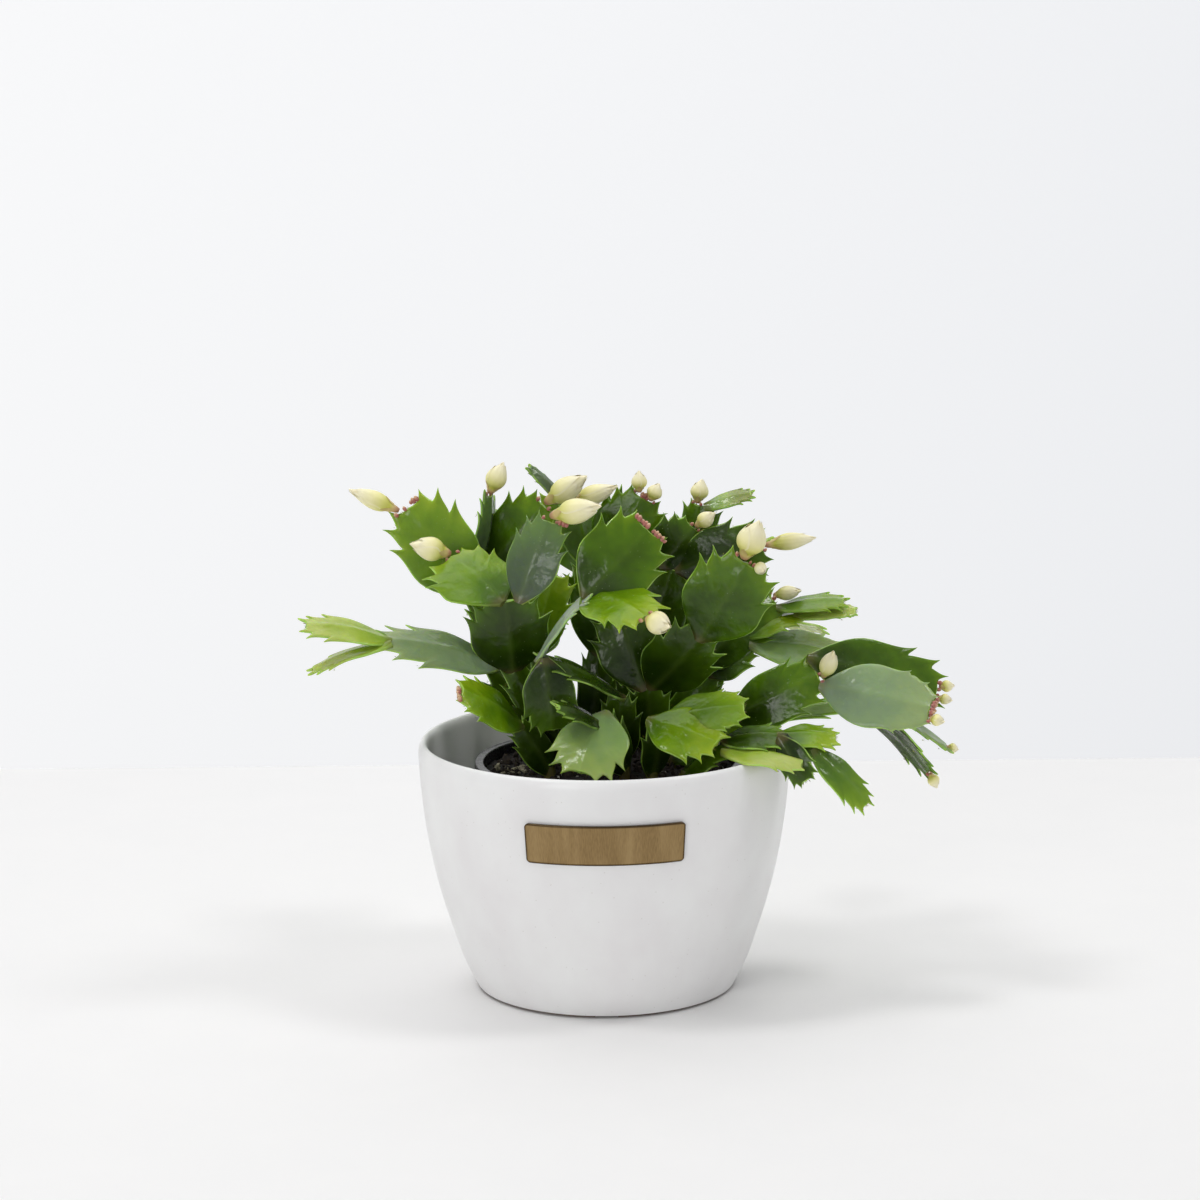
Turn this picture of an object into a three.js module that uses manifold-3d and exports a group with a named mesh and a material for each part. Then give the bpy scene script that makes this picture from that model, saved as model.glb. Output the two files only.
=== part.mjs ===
// Potted christmas cactus in bud: flat toothed stems rooted in potting mix, in a black plastic
// nursery pot that stands inside a white glazed cachepot with a small brass plaque.
// Units are millimetres, +Z is up, and the origin is on the table at the cachepot's axis.

import * as THREE from 'three';
import { mergeVertices } from 'three/addons/utils/BufferGeometryUtils.js';
import Module from 'manifold-3d';

const wasm = await Module();
wasm.setup();

// Clearance between pieces that touch, and where flat facets meet a round wall
const GAP = 0.3;
const FACET_GAP = 1.4 * GAP;

// Cachepot: outer radius at each height, from the foot to just under the rim
const POT_OUTLINE = [
  [0, 51.4], [1, 52], [10, 56.6], [24, 61.5], [42, 66.9], [62, 71.1], [82, 73.6], [96, 74.5],
];
const POT = { height: 100.9, wall: 4.3, floor: 5, sides: 36, lipSteps: 3 };
const NOTCH = { width: 9, height: 1, depth: 6, count: 3 };

// Plaque, bent to the cachepot's wall
const PLAQUE = { width: 62, height: 16, thickness: 1.2, corner: 1.8, centre: 75.4, columns: 14, rows: 2 };

// Nursery pot
const NURSERY = {
  x: 2, baseRadius: 38, topRadius: 51.6, rimRadius: 54, rimDrop: 9, top: 92, wall: 1.2, bevel: 0.6,
};
const NURSERY_SIDES = 24;
const DRAIN = { radius: 4, ring: 26, count: 6, sides: 10 };

// Soil
const SOIL = { level: 88, relief: 1, rings: [18, 36] };

// Stem foot: a round woody neck that stands in a hole in the soil
const FOOT = { radius: 2.4, depth: 10, rise: 3.6, sides: 6 };

// Stem segment: a flat blade on a raised midrib, smooth below and clawed above
const RIB_HALF = 1.25;
const EDGE_HALF = 0.42;
const FOLD = 0.12;
const ARCH = 0.06;
const TWIST = 0.22;
const NECK = { sunk: 2.6, half: 1.9, swell: 1.3 };
const APEX = 0.985;
const RIB_STATIONS = [0.2, 0.45, 0.7, APEX];

// Buds: pericarp and closed petals, radius against length, both as shares
const BUD_OUTLINE = [[0, 0.22], [0.16, 0.42], [0.32, 0.84], [0.5, 1], [0.78, 0.6]];
const BUD_SIDES = 6;
const BEAD_RADIUS = 1.2;

const COLOURS = {
  glaze: 0xe9eaeb, brass: 0x8a7448, plastic: 0x26282b, soil: 0x2b221c, cream: 0xe9e3b8,
  deep: 0x2f4f14, leaf: 0x3f6a1a, bright: 0x6d9a26, sage: 0x6f8a5e,
};

// A repeatable draw between 0 and 1 for a segment's number and a place on it
function draw(number, place) {
  const wave = Math.sin(number * 12.9898 + place * 78.233) * 43758.5453;
  return wave - Math.floor(wave);
}

// The layout's words. A segment is given by the way from its joint to its apex, the way that its flat
// side looks, and its width; what follows grows from its apex. A bud is given by its way and width.
function segment(to, face, width, ...grown) {
  return { kind: 'segment', to, face, width, grown, offset: 0, arch: ARCH, toothing: 1 };
}

function aside(offset, piece) {
  return { ...piece, offset };
}

function arched(arch, piece) {
  return { ...piece, arch };
}

function toothed(toothing, piece) {
  return { ...piece, toothing };
}

function bud(to, width) {
  return { kind: 'bud', to, width, offset: 0 };
}

function beads(...offsets) {
  return { kind: 'beads', offsets, offset: 0 };
}

// The plant, stem by stem, left to right and front to back
const STEMS = {
  stem_left: { green: 'leaf', foot: [-24, 6], grown: segment([-20, -6, 39], [0.5, -0.8, 0.3], 18,
    segment([-42, -16, 14], [0.1, -0.5, 0.85], 24,
      segment([-31, -8, 8], [0, -0.35, 0.95], 17),
      aside(-3, segment([-29, -4, -9], [0, -0.15, 1], 13))),
    aside(4, segment([-12, 6, 27], [0.9, -0.4, 0.1], 20,
      segment([-24, 0, 35], [0.15, -0.95, 0.3], 30,
        aside(-4, bud([-20, 0, 9], 7)),
        beads(3))))) },
  stem_left_front: { green: 'deep', foot: [-14, -4], grown: segment([-22, -6, 40], [0.3, -0.9, 0.2], 18,
    segment([-2, -10, 30], [0.1, -0.95, -0.1], 31,
      aside(-3, segment([-19.5, 14, 14.5], [0.25, -0.53, 0.88], 35,
        aside(2, bud([-16, -4, 5], 9)))),
      aside(6, segment([11.5, 4, 30], [-0.3, -0.9, 0.1], 22,
        bud([20, -11, 5.5], 9.5),
        beads(6))))) },
  stem_left_back: { green: 'leaf', foot: [-18, 24], grown: segment([-14, 0, 38], [0.3, -0.9, 0], 16,
    aside(4, segment([10, -4, 33], [-0.2, -0.95, 0.2], 20)),
    aside(-3, segment([-13, 4, 38], [0.3, -0.9, 0.1], 22,
      aside(-4, segment([6, 2, 30], [1, -0.35, 0], 20,
        bud([6, 0, 13], 8))),
      aside(4, segment([21, -2, 24], [-0.2, -0.9, 0.3], 26,
        bud([17, -8, 12], 9.5)))))) },
  stem_centre: { green: 'deep', foot: [6, -2], grown: segment([0, -6, 28], [0, -1, 0], 17,
    segment([-30, -14, 18], [0.45, -0.1, 0.9], 20,
      aside(2, segment([19, -2, 26], [-0.75, 0.1, 0.5], 24,
        aside(3, segment([24, 6, 25], [0, -1, 0.05], 32,
          beads(-5, -2, 4, 7))),
        aside(-3, segment([22, -26, -6], [0.1, -0.6, 0.75], 28,
          bud([9, -10, -1.5], 8.5))))),
      aside(-4, segment([3, 0, -27], [0.1, -0.9, 0.1], 21)))) },
  stem_centre_right: { green: 'deep', foot: [20, 10], grown: segment([-2, -8, 30], [-0.2, -0.9, 0.3], 20,
    aside(-3, segment([-10, 4, 31], [0.1, -0.9, 0], 26)),
    aside(2, segment([19, -14, 23], [0.1, -0.95, -0.1], 28,
      segment([18, -8, 31], [0, -1, 0.1], 33,
        aside(-2, bud([6, -4, 16], 11)),
        aside(4, bud([2, -8, -1], 4.5)))))) },
  stem_arching: { green: 'deep', foot: [8, -16], grown: segment([-9, -14, 23], [0.3, -0.8, 0.3], 16,
    aside(-2, segment([-16, -9, 9], [0.5, -0.2, 0.85], 15)),
    aside(2, segment([-10, -19, -18], [-0.2, -0.75, 0.6], 29))) },
  stem_front_left: { green: 'bright', foot: [-22, -16], grown: segment([-12, -6, 20], [0.2, -0.8, 0.5], 14,
    toothed(0.7, segment([-22, -14, 17], [0.1, -0.55, 0.8], 22,
      beads(-4, 0)))) },
  stem_right: { green: 'leaf', foot: [28, 4], grown: segment([24, -10, 18], [0.1, -0.7, 0.7], 20,
    segment([34, -4, 18], [-0.1, -0.85, 0.45], 23,
      aside(5.5, toothed(0.35, segment([41, -14, -6], [0.1, -0.88, 0.45], 27,
        aside(4, bud([6, -2, -1], 4.5)),
        beads(-1.5, 0.3)))),
      aside(-7, segment([51, 10, -15], [0, -0.88, 0.45], 27,
        aside(-1.5, bud([6.5, 1, 0], 4.5)),
        aside(3.2, bud([6, -1, -1], 4)))),
      aside(1, bud([3.5, -13, 13], 6.5)))) },
  stem_right_low: { green: 'leaf', foot: [36, 11], grown: segment([16, -5, 15], [0.1, -0.5, 0.85], 16,
    arched(0.01, segment([50, -4, 7], [0, -0.35, 0.93], 14,
      aside(2, segment([28, -8, -26], [0.7, 0.5, 0.7], 17,
        bud([3, -1, -6], 4.5))),
      aside(-3, segment([36, 3, -21], [0.35, -0.1, 0.93], 16,
        bud([5, 0, -1], 4)))))) },
  stem_front: { green: 'bright', foot: [19, -22], grown: segment([3, -6, 22], [0.3, -0.6, 0.7], 14,
    aside(3, toothed(0.6, segment([31, -4, 6], [0, -0.5, 0.85], 22))),
    aside(-3, segment([25, -14, -6], [0, -0.65, 0.75], 25))) },
  stem_front_right: { green: 'bright', foot: [32, -26], grown: segment([16, -8, 14], [0.1, -0.5, 0.85], 16,
    aside(-2, segment([22, -2, 2], [0, -0.25, 0.97], 19,
      segment([21, 0, -1], [0, -0.3, 0.95], 17),
      aside(3, segment([13, -3, -5], [0.3, -0.6, 0.7], 12,
        segment([19, -6, -20], [0.5, -0.75, 0.4], 14))),
      aside(6, segment([9, -6, -14], [-0.3, -0.9, 0.3], 13)))),
    aside(5, toothed(0.6, segment([29.5, -8, -2.8], [0.1, -0.2, 0.97], 21)))) },
  stem_right_back: { green: 'sage', foot: [24, 27], grown: segment([20, -1, 30], [0.3, -0.8, 0.4], 16,
    segment([16, -2, 14], [0, -0.6, 0.8], 22,
      aside(4, toothed(0.5, segment([38, -2, -5], [0.05, -0.45, 0.88], 24))),
      aside(-3, segment([21, -2, 8], [0, -0.3, 0.95], 18,
        toothed(0.2, segment([23, -2, 2], [0, -0.35, 0.9], 12))))),
    aside(-5, segment([31, 3, 26], [-0.3, -0.8, 0.5], 22,
      aside(4, segment([25, -4, 3], [0, -0.25, 1], 16)),
      aside(-3, bud([11, -7, 3], 5.5))))) },
  stem_top_right: { green: 'leaf', foot: [10, 22], grown: segment([6, -2, 38], [0, -1, 0.2], 17,
    segment([12, -4, 38], [0, -1, 0.2], 24,
      aside(4, segment([33, -4, 10], [0, -0.95, 0.2], 26,
        bud([21, 0, 3], 6.5))),
      aside(-4, segment([13, 2, 14], [-0.1, -0.95, 0.1], 24,
        bud([8, -2, 6], 6),
        beads(5))))) },
  stem_top: { green: 'leaf', foot: [-4, 30], grown: segment([2, 2, 38], [0, -1, 0.2], 16,
    segment([0, 0, 38], [0, -1, 0.2], 23,
      aside(4, segment([15, -2, 26], [0, -0.85, 0.4], 27,
        aside(-2.5, bud([0, 0, 9], 6)),
        aside(3, bud([4, 0, 7], 6)),
        beads(0.3))),
      aside(-5, segment([-5, 2, 22], [0.7, -0.7, 0.2], 21,
        aside(-4, toothed(0.3, segment([-15, 0, 17], [0.8, -0.5, 0.3], 6.5))),
        bud([19, -12, 8], 7.5))))) },
  stem_back_top: { green: 'leaf', foot: [18, 36], grown: segment([6, 4, 38], [0.2, 1, 0], 17,
    segment([18, 2, 31], [0.3, 1, 0], 23,
      aside(4, segment([2, -2, 26], [-0.4, -0.85, 0.1], 21,
        aside(-2, bud([2, 0, 10], 7)),
        aside(4, segment([17, -2, 5], [0, -0.5, 0.85], 10)))),
      aside(-5, segment([20, 16, 12], [0.3, 0.5, 0.8], 24)))) },
  stem_back_left: { green: 'sage', foot: [-20, 38], grown: segment([-15, 8, 32], [-0.2, 0.95, 0.2], 17,
    aside(4, segment([-14, 20, 24], [-0.1, 0.7, 0.7], 26,
      segment([-4, 28, -4], [0, 0.1, 1], 23))),
    aside(-4, segment([4, 24, 16], [0.2, 0.6, 0.75], 24,
      segment([0, 28, -14], [0.1, 0.4, 0.9], 22)))) },
  stem_back: { green: 'leaf', foot: [2, 44], grown: segment([0, 6, 36], [0, 1, 0.2], 17,
    segment([-8, 4, 34], [0.2, 1, 0.1], 25,
      aside(4, segment([-10, 8, 30], [0.1, 0.95, 0.3], 24)),
      aside(-4, segment([18, 14, 24], [-0.1, 0.9, 0.4], 25)))) },
  stem_back_right: { green: 'leaf', foot: [32, 32], grown: segment([14, 16, 28], [0.5, 0.7, 0.4], 17,
    aside(-3, segment([22, 16, 16], [0.3, 0.5, 0.8], 25,
      segment([18, 20, -8], [0.1, 0.3, 0.95], 22))),
    aside(4, segment([0, 28, 18], [0.2, 0.7, 0.7], 25,
      segment([-4, 28, -8], [0, 0.3, 0.95], 22)))) },
};

// Geometry helpers
function vector(values) {
  return new THREE.Vector3(...values);
}

function solidOf(geometry) {
  const bare = geometry.clone();
  bare.deleteAttribute('normal');
  bare.deleteAttribute('uv');
  const merged = mergeVertices(bare, 1e-4);
  return new wasm.Manifold(new wasm.Mesh({
    numProp: 3,
    vertProperties: new Float32Array(merged.attributes.position.array),
    triVerts: new Uint32Array(merged.index.array),
  }));
}

function geometryOf(solid) {
  const mesh = solid.getMesh();
  const geometry = new THREE.BufferGeometry();
  geometry.setAttribute('position', new THREE.BufferAttribute(new Float32Array(mesh.vertProperties), 3));
  geometry.setIndex(new THREE.BufferAttribute(new Uint32Array(mesh.triVerts), 1));
  geometry.computeVertexNormals();
  return geometry;
}

function lathe(profile, sides) {
  const points = profile.map(([z, radius]) => new THREE.Vector2(radius, z));
  return new THREE.LatheGeometry(points, sides).rotateX(Math.PI / 2);
}

function upright(radius, bottom, top, sides) {
  const cylinder = new THREE.CylinderGeometry(radius, radius, top - bottom, sides).rotateX(Math.PI / 2);
  return cylinder.translate(0, 0, (top + bottom) / 2);
}

function ringOf(count, make) {
  return Array.from({ length: count }, (_, index) => make((index / count) * 2 * Math.PI));
}

function radiusAt(outline, z) {
  const above = Math.max(1, outline.findIndex(([height]) => height >= z));
  const [z0, r0] = outline[above - 1];
  const [z1, r1] = outline[above];
  return r0 + ((r1 - r0) * (z - z0)) / (z1 - z0);
}

// Cachepot
function cachepot() {
  const [rimStart, rimRadius] = POT_OUTLINE.at(-1);
  const lip = POT.height - rimStart;
  const half = POT.wall / 2;
  const profile = [[0, 0], ...POT_OUTLINE];
  for (let step = 1; step < 2 * POT.lipSteps; step += 1) {
    const turn = (Math.PI * step) / (2 * POT.lipSteps);
    profile.push([rimStart + lip * Math.sin(turn), rimRadius - half + half * Math.cos(turn)]);
  }
  const inner = POT_OUTLINE.filter(([z]) => z > POT.floor + POT.wall).reverse();
  for (const [z, radius] of inner) {
    profile.push([z, radius - POT.wall]);
  }
  const cornerRadius = radiusAt(POT_OUTLINE, POT.floor) - POT.wall;
  profile.push([POT.floor + 1, cornerRadius - 1], [POT.floor, cornerRadius - 3], [POT.floor, 0]);
  let pot = solidOf(lathe(profile, POT.sides));
  for (const angle of ringOf(NOTCH.count, (turn) => turn - Math.PI / 2)) {
    const notch = new THREE.BoxGeometry(2 * NOTCH.depth, NOTCH.width, 2 * NOTCH.height);
    notch.translate(POT_OUTLINE[0][1], 0, 0).rotateZ(angle);
    pot = pot.subtract(solidOf(notch));
  }
  return geometryOf(pot);
}

// Plaque: a flat plate bent round the wall at the front, its corners trimmed round
function plaque() {
  const { width, height, thickness, corner, centre, columns, rows } = PLAQUE;
  const plate = new THREE.BoxGeometry(width, height, thickness, columns, rows, 1);
  const place = plate.attributes.position;
  for (let index = 0; index < place.count; index += 1) {
    const z = centre + place.getY(index);
    const radius = radiusAt(POT_OUTLINE, z) + FACET_GAP + thickness / 2 + place.getZ(index);
    const angle = place.getX(index) / radiusAt(POT_OUTLINE, centre);
    place.setXYZ(index, radius * Math.sin(angle), -radius * Math.cos(angle), z);
  }
  const chord = radiusAt(POT_OUTLINE, centre) * Math.sin(width / 2 / radiusAt(POT_OUTLINE, centre));
  const trim = new THREE.Shape();
  const [right, top] = [chord, height / 2];
  trim.moveTo(-right, -top + corner);
  trim.absarc(-right + corner, top - corner, corner, Math.PI, Math.PI / 2, true);
  trim.absarc(right - corner, top - corner, corner, Math.PI / 2, 0, true);
  trim.absarc(right - corner, -top + corner, corner, 0, -Math.PI / 2, true);
  trim.absarc(-right + corner, -top + corner, corner, -Math.PI / 2, -Math.PI, true);
  const cutter = new THREE.ExtrudeGeometry(trim, { depth: width, bevelEnabled: false, curveSegments: 4 });
  cutter.rotateX(Math.PI / 2).translate(0, -width / 2, centre);
  return geometryOf(solidOf(plate).intersect(solidOf(cutter)));
}

// Nursery pot: thin wall, folded rim and drain holes
function nurseryOutline(inset) {
  const base = POT.floor + GAP;
  const rimFoot = NURSERY.top - NURSERY.rimDrop;
  return [[base, NURSERY.baseRadius - inset], [rimFoot, NURSERY.topRadius - inset]];
}

function nurseryPot() {
  const { wall, rimRadius, rimDrop, top, topRadius, bevel } = NURSERY;
  const [base, shoulder] = nurseryOutline(0);
  const [innerBase, innerShoulder] = nurseryOutline(wall);
  const profile = [
    [base[0], 0], [base[0], base[1] - wall], [base[0] + wall, base[1]], shoulder,
    [top - rimDrop + wall, rimRadius], [top - bevel, rimRadius], [top, rimRadius - bevel],
    [top, topRadius - wall + bevel], [top - bevel, topRadius - wall], innerShoulder,
    [innerBase[0] + wall, innerBase[1]], [innerBase[0] + wall, 0],
  ];
  let pot = solidOf(lathe(profile, NURSERY_SIDES));
  for (const angle of ringOf(DRAIN.count, (turn) => turn)) {
    const hole = upright(DRAIN.radius, 0, base[0] + 3 * wall, DRAIN.sides);
    hole.translate(DRAIN.ring * Math.cos(angle), DRAIN.ring * Math.sin(angle), 0);
    pot = pot.subtract(solidOf(hole));
  }
  return geometryOf(pot);
}

// Soil: fills the nursery pot, with a crumbly top and a plain hole for each stem's foot
function soil() {
  const [innerBase, innerShoulder] = nurseryOutline(NURSERY.wall + GAP);
  const bottom = innerBase[0] + NURSERY.wall + GAP;
  const edge = innerShoulder[1];
  const profile = [[bottom, 0], [bottom, innerBase[1]], [innerShoulder[0], edge], [SOIL.level - 0.5, edge]];
  for (const radius of [...SOIL.rings].reverse()) {
    profile.push([SOIL.level, radius]);
  }
  profile.push([SOIL.level, 0]);
  const body = lathe(profile, NURSERY_SIDES);
  const place = body.attributes.position;
  for (let index = 0; index < place.count; index += 1) {
    const [x, y, z] = [place.getX(index), place.getY(index), place.getZ(index)];
    const crumbly = z === SOIL.level && Math.hypot(x, y) > 1;
    const number = Math.round(x) * 97 + Math.round(y) * 31;
    place.setZ(index, crumbly ? z + SOIL.relief * (2 * draw(number, 1) - 1) : z);
  }
  let bed = solidOf(body);
  for (const { foot } of Object.values(STEMS)) {
    const hole = upright(FOOT.radius + FACET_GAP, SOIL.level - FOOT.depth - GAP, NURSERY.top, FOOT.sides);
    bed = bed.subtract(solidOf(hole.translate(foot[0] - NURSERY.x, foot[1], 0)));
  }
  return geometryOf(bed);
}

// Stem segment's frame: along the midrib, out of the flat side, and across
function segmentFrame({ to, face }) {
  const along = vector(to).normalize();
  const out = vector(face);
  out.addScaledVector(along, -out.dot(along)).normalize();
  return { along, out, across: along.clone().cross(out), length: vector(to).length() };
}

// One half of a segment's outline: places along the length and across, as shares of length and half
// width, each with the midrib station that its edge to the next point is joined to. The claws and the
// notches between them shrink with the toothing, down to a smooth edge.
function halfOutline(number, side, toothing) {
  const shift = (place, reach) => (draw(number, place + 10 * side) - 0.5) * 2 * reach;
  const between = (smooth, clawed) => smooth + (clawed - smooth) * toothing;
  const first = shift(1, 0.035);
  const second = shift(2, 0.02);
  return [
    [0.13, 0.66, 0],
    [0.42, 1, 1],
    [between(0.7, 0.77 + first), between(0.95, 1.14 + shift(3, 0.05)), 1],
    [between(0.74, 0.7 + first), between(0.91, 0.8), 2],
    [between(0.88, 0.97 + second), between(0.75, 0.92 + shift(4, 0.05)), 2],
    [between(0.91, 0.9 + second), between(0.69, 0.6), 2],
    [between(1, 1.07), between(0.42, 0.5), 2],
    [APEX, 0.3, 2],
  ];
}

// The blade is a closed skin: a front and a back face split into triangles alike, and a thin edge wall
function segmentSolid(base, piece, number) {
  const { along, out, across, length } = segmentFrame(piece);
  const half = piece.width / 2;
  const twist = TWIST * (draw(number, 5) - 0.5);
  const neck = -NECK.sunk / length;
  const right = [[neck, NECK.half / half, 0], ...halfOutline(number, 0, piece.toothing)];
  const left = [[neck, NECK.half / half, 0], ...halfOutline(number, 1, piece.toothing)];
  const stations = [neck, ...RIB_STATIONS];
  const front = [];
  const back = [];
  const place = (u, v, thickness) => {
    const t = THREE.MathUtils.clamp(u, 0, 1);
    const bow = piece.arch * length * 4 * t * (1 - t) - FOLD * half * Math.abs(v) * (0.5 + 0.5 * t);
    const middle = bow + twist * half * v * t;
    for (const [skin, way] of [[front, 1], [back, -1]]) {
      const point = base.clone().addScaledVector(along, u * length).addScaledVector(across, v * half);
      skin.push(point.addScaledVector(out, middle + way * thickness));
    }
  };
  const strips = [];
  for (const u of stations) {
    place(u, 0, u < 0 ? NECK.swell * RIB_HALF : RIB_HALF);
  }
  for (const [outline, side] of [[right, 1], [left, -1]]) {
    const start = front.length;
    for (const [u, v] of outline) {
      place(u, side * v, u < 0 ? NECK.swell * RIB_HALF : EDGE_HALF);
    }
    strips.push({ outline, start, side });
  }
  const faces = [];
  const rim = [];
  for (const { outline, start, side } of strips) {
    const chain = [0, ...outline.map((_, index) => start + index), stations.length - 1];
    const joined = [0, ...outline.map(([, , station]) => station + 1), stations.length - 1];
    for (let index = 1; index < chain.length - 1; index += 1) {
      const [from, next, station] = [chain[index], chain[index + 1], joined[index]];
      for (let previous = joined[index - 1]; previous < station; previous += 1) {
        faces.push([from, previous + 1, previous, side]);
      }
      faces.push([from, next, station, side]);
    }
    rim.push(side > 0 ? chain : chain.reverse());
  }
  return skinSolid(front, back, faces, [...rim[0], ...rim[1].slice(1, -1)]);
}

function skinSolid(front, back, faces, rim) {
  const offset = front.length;
  const triangles = [];
  for (const [a, b, c, side] of faces) {
    const [p, q] = side > 0 ? [b, c] : [c, b];
    if (new Set([a, b, c]).size === 3) {
      triangles.push(a, p, q, offset + a, offset + q, offset + p);
    }
  }
  rim.forEach((from, index) => {
    const next = rim[(index + 1) % rim.length];
    triangles.push(from, offset + from, offset + next, from, offset + next, next);
  });
  const values = [...front, ...back].flatMap((point) => point.toArray());
  return new wasm.Manifold(new wasm.Mesh({
    numProp: 3,
    vertProperties: new Float32Array(values),
    triVerts: new Uint32Array(triangles),
  }));
}

// A bud starts just clear of the apex that it grows from
function budGeometry(apex, frame, { to, width }) {
  const way = vector(to).normalize();
  const lean = Math.sqrt(1 - Math.min(1, way.dot(frame.along)) ** 2);
  const start = apex.clone().addScaledVector(frame.along, GAP + BUD_OUTLINE[1][1] * (width / 2) * lean);
  const length = vector(to).length();
  const profile = [[0, 0], ...BUD_OUTLINE.map(([z, r]) => [z * length, (r * width) / 2]), [length, 0]];
  const turn = new THREE.Quaternion().setFromUnitVectors(new THREE.Vector3(0, 0, 1), way);
  return lathe(profile, BUD_SIDES).applyQuaternion(turn).translate(...start.toArray());
}

const cactus = new THREE.Group();

function addMesh(name, geometry, colour, roughness, metalness = 0) {
  const material = new THREE.MeshStandardMaterial({ color: colour, roughness, metalness });
  const mesh = new THREE.Mesh(geometry, material);
  mesh.name = name;
  cactus.add(mesh);
  return mesh;
}

// Grows a piece and all that it carries, joining what is green into one solid
function grow(piece, base, carrier, stem) {
  if (piece.kind === 'segment') {
    stem.number += 1;
    const frame = segmentFrame(piece);
    const start = base.clone().addScaledVector(carrier.across, piece.offset);
    stem.solids.push(segmentSolid(start, piece, stem.number));
    for (const child of piece.grown) {
      const share = child.kind === 'segment' ? 1 : APEX;
      grow(child, start.clone().addScaledVector(vector(piece.to), share), frame, stem);
    }
  } else if (piece.kind === 'beads') {
    for (const offset of piece.offsets) {
      const bead = new THREE.IcosahedronGeometry(BEAD_RADIUS, 0);
      const seat = base.clone().addScaledVector(carrier.across, offset).addScaledVector(carrier.along, 0.4);
      stem.solids.push(solidOf(bead.translate(...seat.toArray())));
    }
  } else {
    stem.buds += 1;
    const seat = base.clone().addScaledVector(carrier.across, piece.offset);
    addMesh(`${stem.name}_bud_${stem.buds}`, budGeometry(seat, carrier, piece), COLOURS.cream, 0.5);
  }
}

addMesh('cachepot', cachepot(), COLOURS.glaze, 0.35);
addMesh('plaque', plaque(), COLOURS.brass, 0.4, 1);
addMesh('nursery_pot', nurseryPot(), COLOURS.plastic, 0.45).position.x = NURSERY.x;
addMesh('soil', soil(), COLOURS.soil, 0.95).position.x = NURSERY.x;

let counted = 0;
for (const [name, { green, foot, grown }] of Object.entries(STEMS)) {
  const base = new THREE.Vector3(foot[0], foot[1], SOIL.level + FOOT.rise);
  const peg = upright(FOOT.radius, SOIL.level - FOOT.depth, base.z + NECK.sunk / 2, FOOT.sides);
  const stem = { name, number: counted, buds: 0, solids: [solidOf(peg.translate(foot[0], foot[1], 0))] };
  grow(grown, base, { across: new THREE.Vector3(1, 0, 0) }, stem);
  counted = stem.number;
  addMesh(name, geometryOf(stem.solids.reduce((joined, solid) => joined.add(solid))), COLOURS[green], 0.4);
}

export default cactus;
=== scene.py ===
import math

import bmesh
import bpy
import numpy as np
from mathutils import Euler, Matrix, Vector, noise


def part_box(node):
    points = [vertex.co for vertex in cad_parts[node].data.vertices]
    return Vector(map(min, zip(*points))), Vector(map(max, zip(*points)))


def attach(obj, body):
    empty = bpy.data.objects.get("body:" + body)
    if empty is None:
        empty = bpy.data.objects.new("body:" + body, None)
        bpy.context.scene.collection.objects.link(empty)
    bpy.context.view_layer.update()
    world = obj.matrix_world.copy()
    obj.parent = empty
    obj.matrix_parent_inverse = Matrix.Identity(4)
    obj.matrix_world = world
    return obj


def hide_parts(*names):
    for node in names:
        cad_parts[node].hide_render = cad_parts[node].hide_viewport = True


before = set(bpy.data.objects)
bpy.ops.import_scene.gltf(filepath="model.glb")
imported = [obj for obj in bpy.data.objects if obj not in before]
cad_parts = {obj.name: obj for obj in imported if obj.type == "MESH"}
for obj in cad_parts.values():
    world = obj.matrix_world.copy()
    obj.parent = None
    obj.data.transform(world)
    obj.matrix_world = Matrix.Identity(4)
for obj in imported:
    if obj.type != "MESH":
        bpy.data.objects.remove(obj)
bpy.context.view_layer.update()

# A christmas cactus in bud, in a black nursery pot inside a white glazed cachepot with a brass plaque.
# Lengths are in millimetres until a mesh is made, +Z is up, and the origin is on the table at the
# cachepot's axis.

bl_info = {
    "name": "Potted christmas cactus",
    "version": (1, 0, 0),
    "blender": (4, 5, 0),
    "location": "View3D > Sidebar > Cactus",
    "description": "Builds a potted christmas cactus in bud, with its pots, plaque and studio",
    "category": "Add Mesh",
}

MM = 0.001
# Points this close are joined, and a cut piece's edges that turn by more degrees than this stay sharp
JOIN = 0.004
FINE_JOIN = 0.002
CUT_EDGE = 35

# Cachepot: outer radius at each height, from the foot to just under the rim, then the underside's heights
# with how far in they are from the foot's edge
POT_OUTLINE = [(0, 51.4), (1, 52), (10, 56.6), (24, 61.5), (42, 66.9), (62, 71.1), (82, 73.6), (96, 74.5)]
POT_UNDERSIDE = [(0, 5), (0, 1.3), (0.5, 1.1), (0.75, 0.3)]
POT_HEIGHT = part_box("cachepot")[1][2] / MM
POT_WALL = 4.3
POT_FLOOR = 5
POT_FILLET = 4
POT_STEPS = {"wall": 46, "lip": 17, "fillet": 6}
NOTCH = {"width": 9, "height": 1, "depth": 6, "count": 3, "soft": 0.4}

# Plaque, bent to the cachepot's wall, and the steps in from its border by which its columns and rows crowd
PLAQUE = {"width": 62, "height": 16, "thickness": 1.2, "corner": 1.8, "centre": 75.4, "clearance": 0.42}
BORDER_STEPS = np.array([0, 0.06, 0.15, 0.28, 0.42, 0.58, 0.75, 0.95, 1.2, 1.5, 1.8, 2.4])
TARNISH = {"middle": 0.2, "reach": 0.62}

# Nursery pot, its rim's fold as heights over the shoulder with insets, and the potting mix in it
NURSERY_X = 2
NURSERY = {"base": 38, "top_radius": 51.6, "rim": 54, "drop": 9, "top": 92, "wall": 1.2, "foot": 5.3,
           "edge": 0.6}
RIM_FOLD = [(0.15, 0.5), (0.5, 0.1), (1, 0)]
DRAIN = {"radius": 4, "ring": 26, "count": 6, "sides": 24}
SOIL_LEVEL = 88
SOIL_RADIUS = 50.1
SOIL_SIDES = 132
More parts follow.
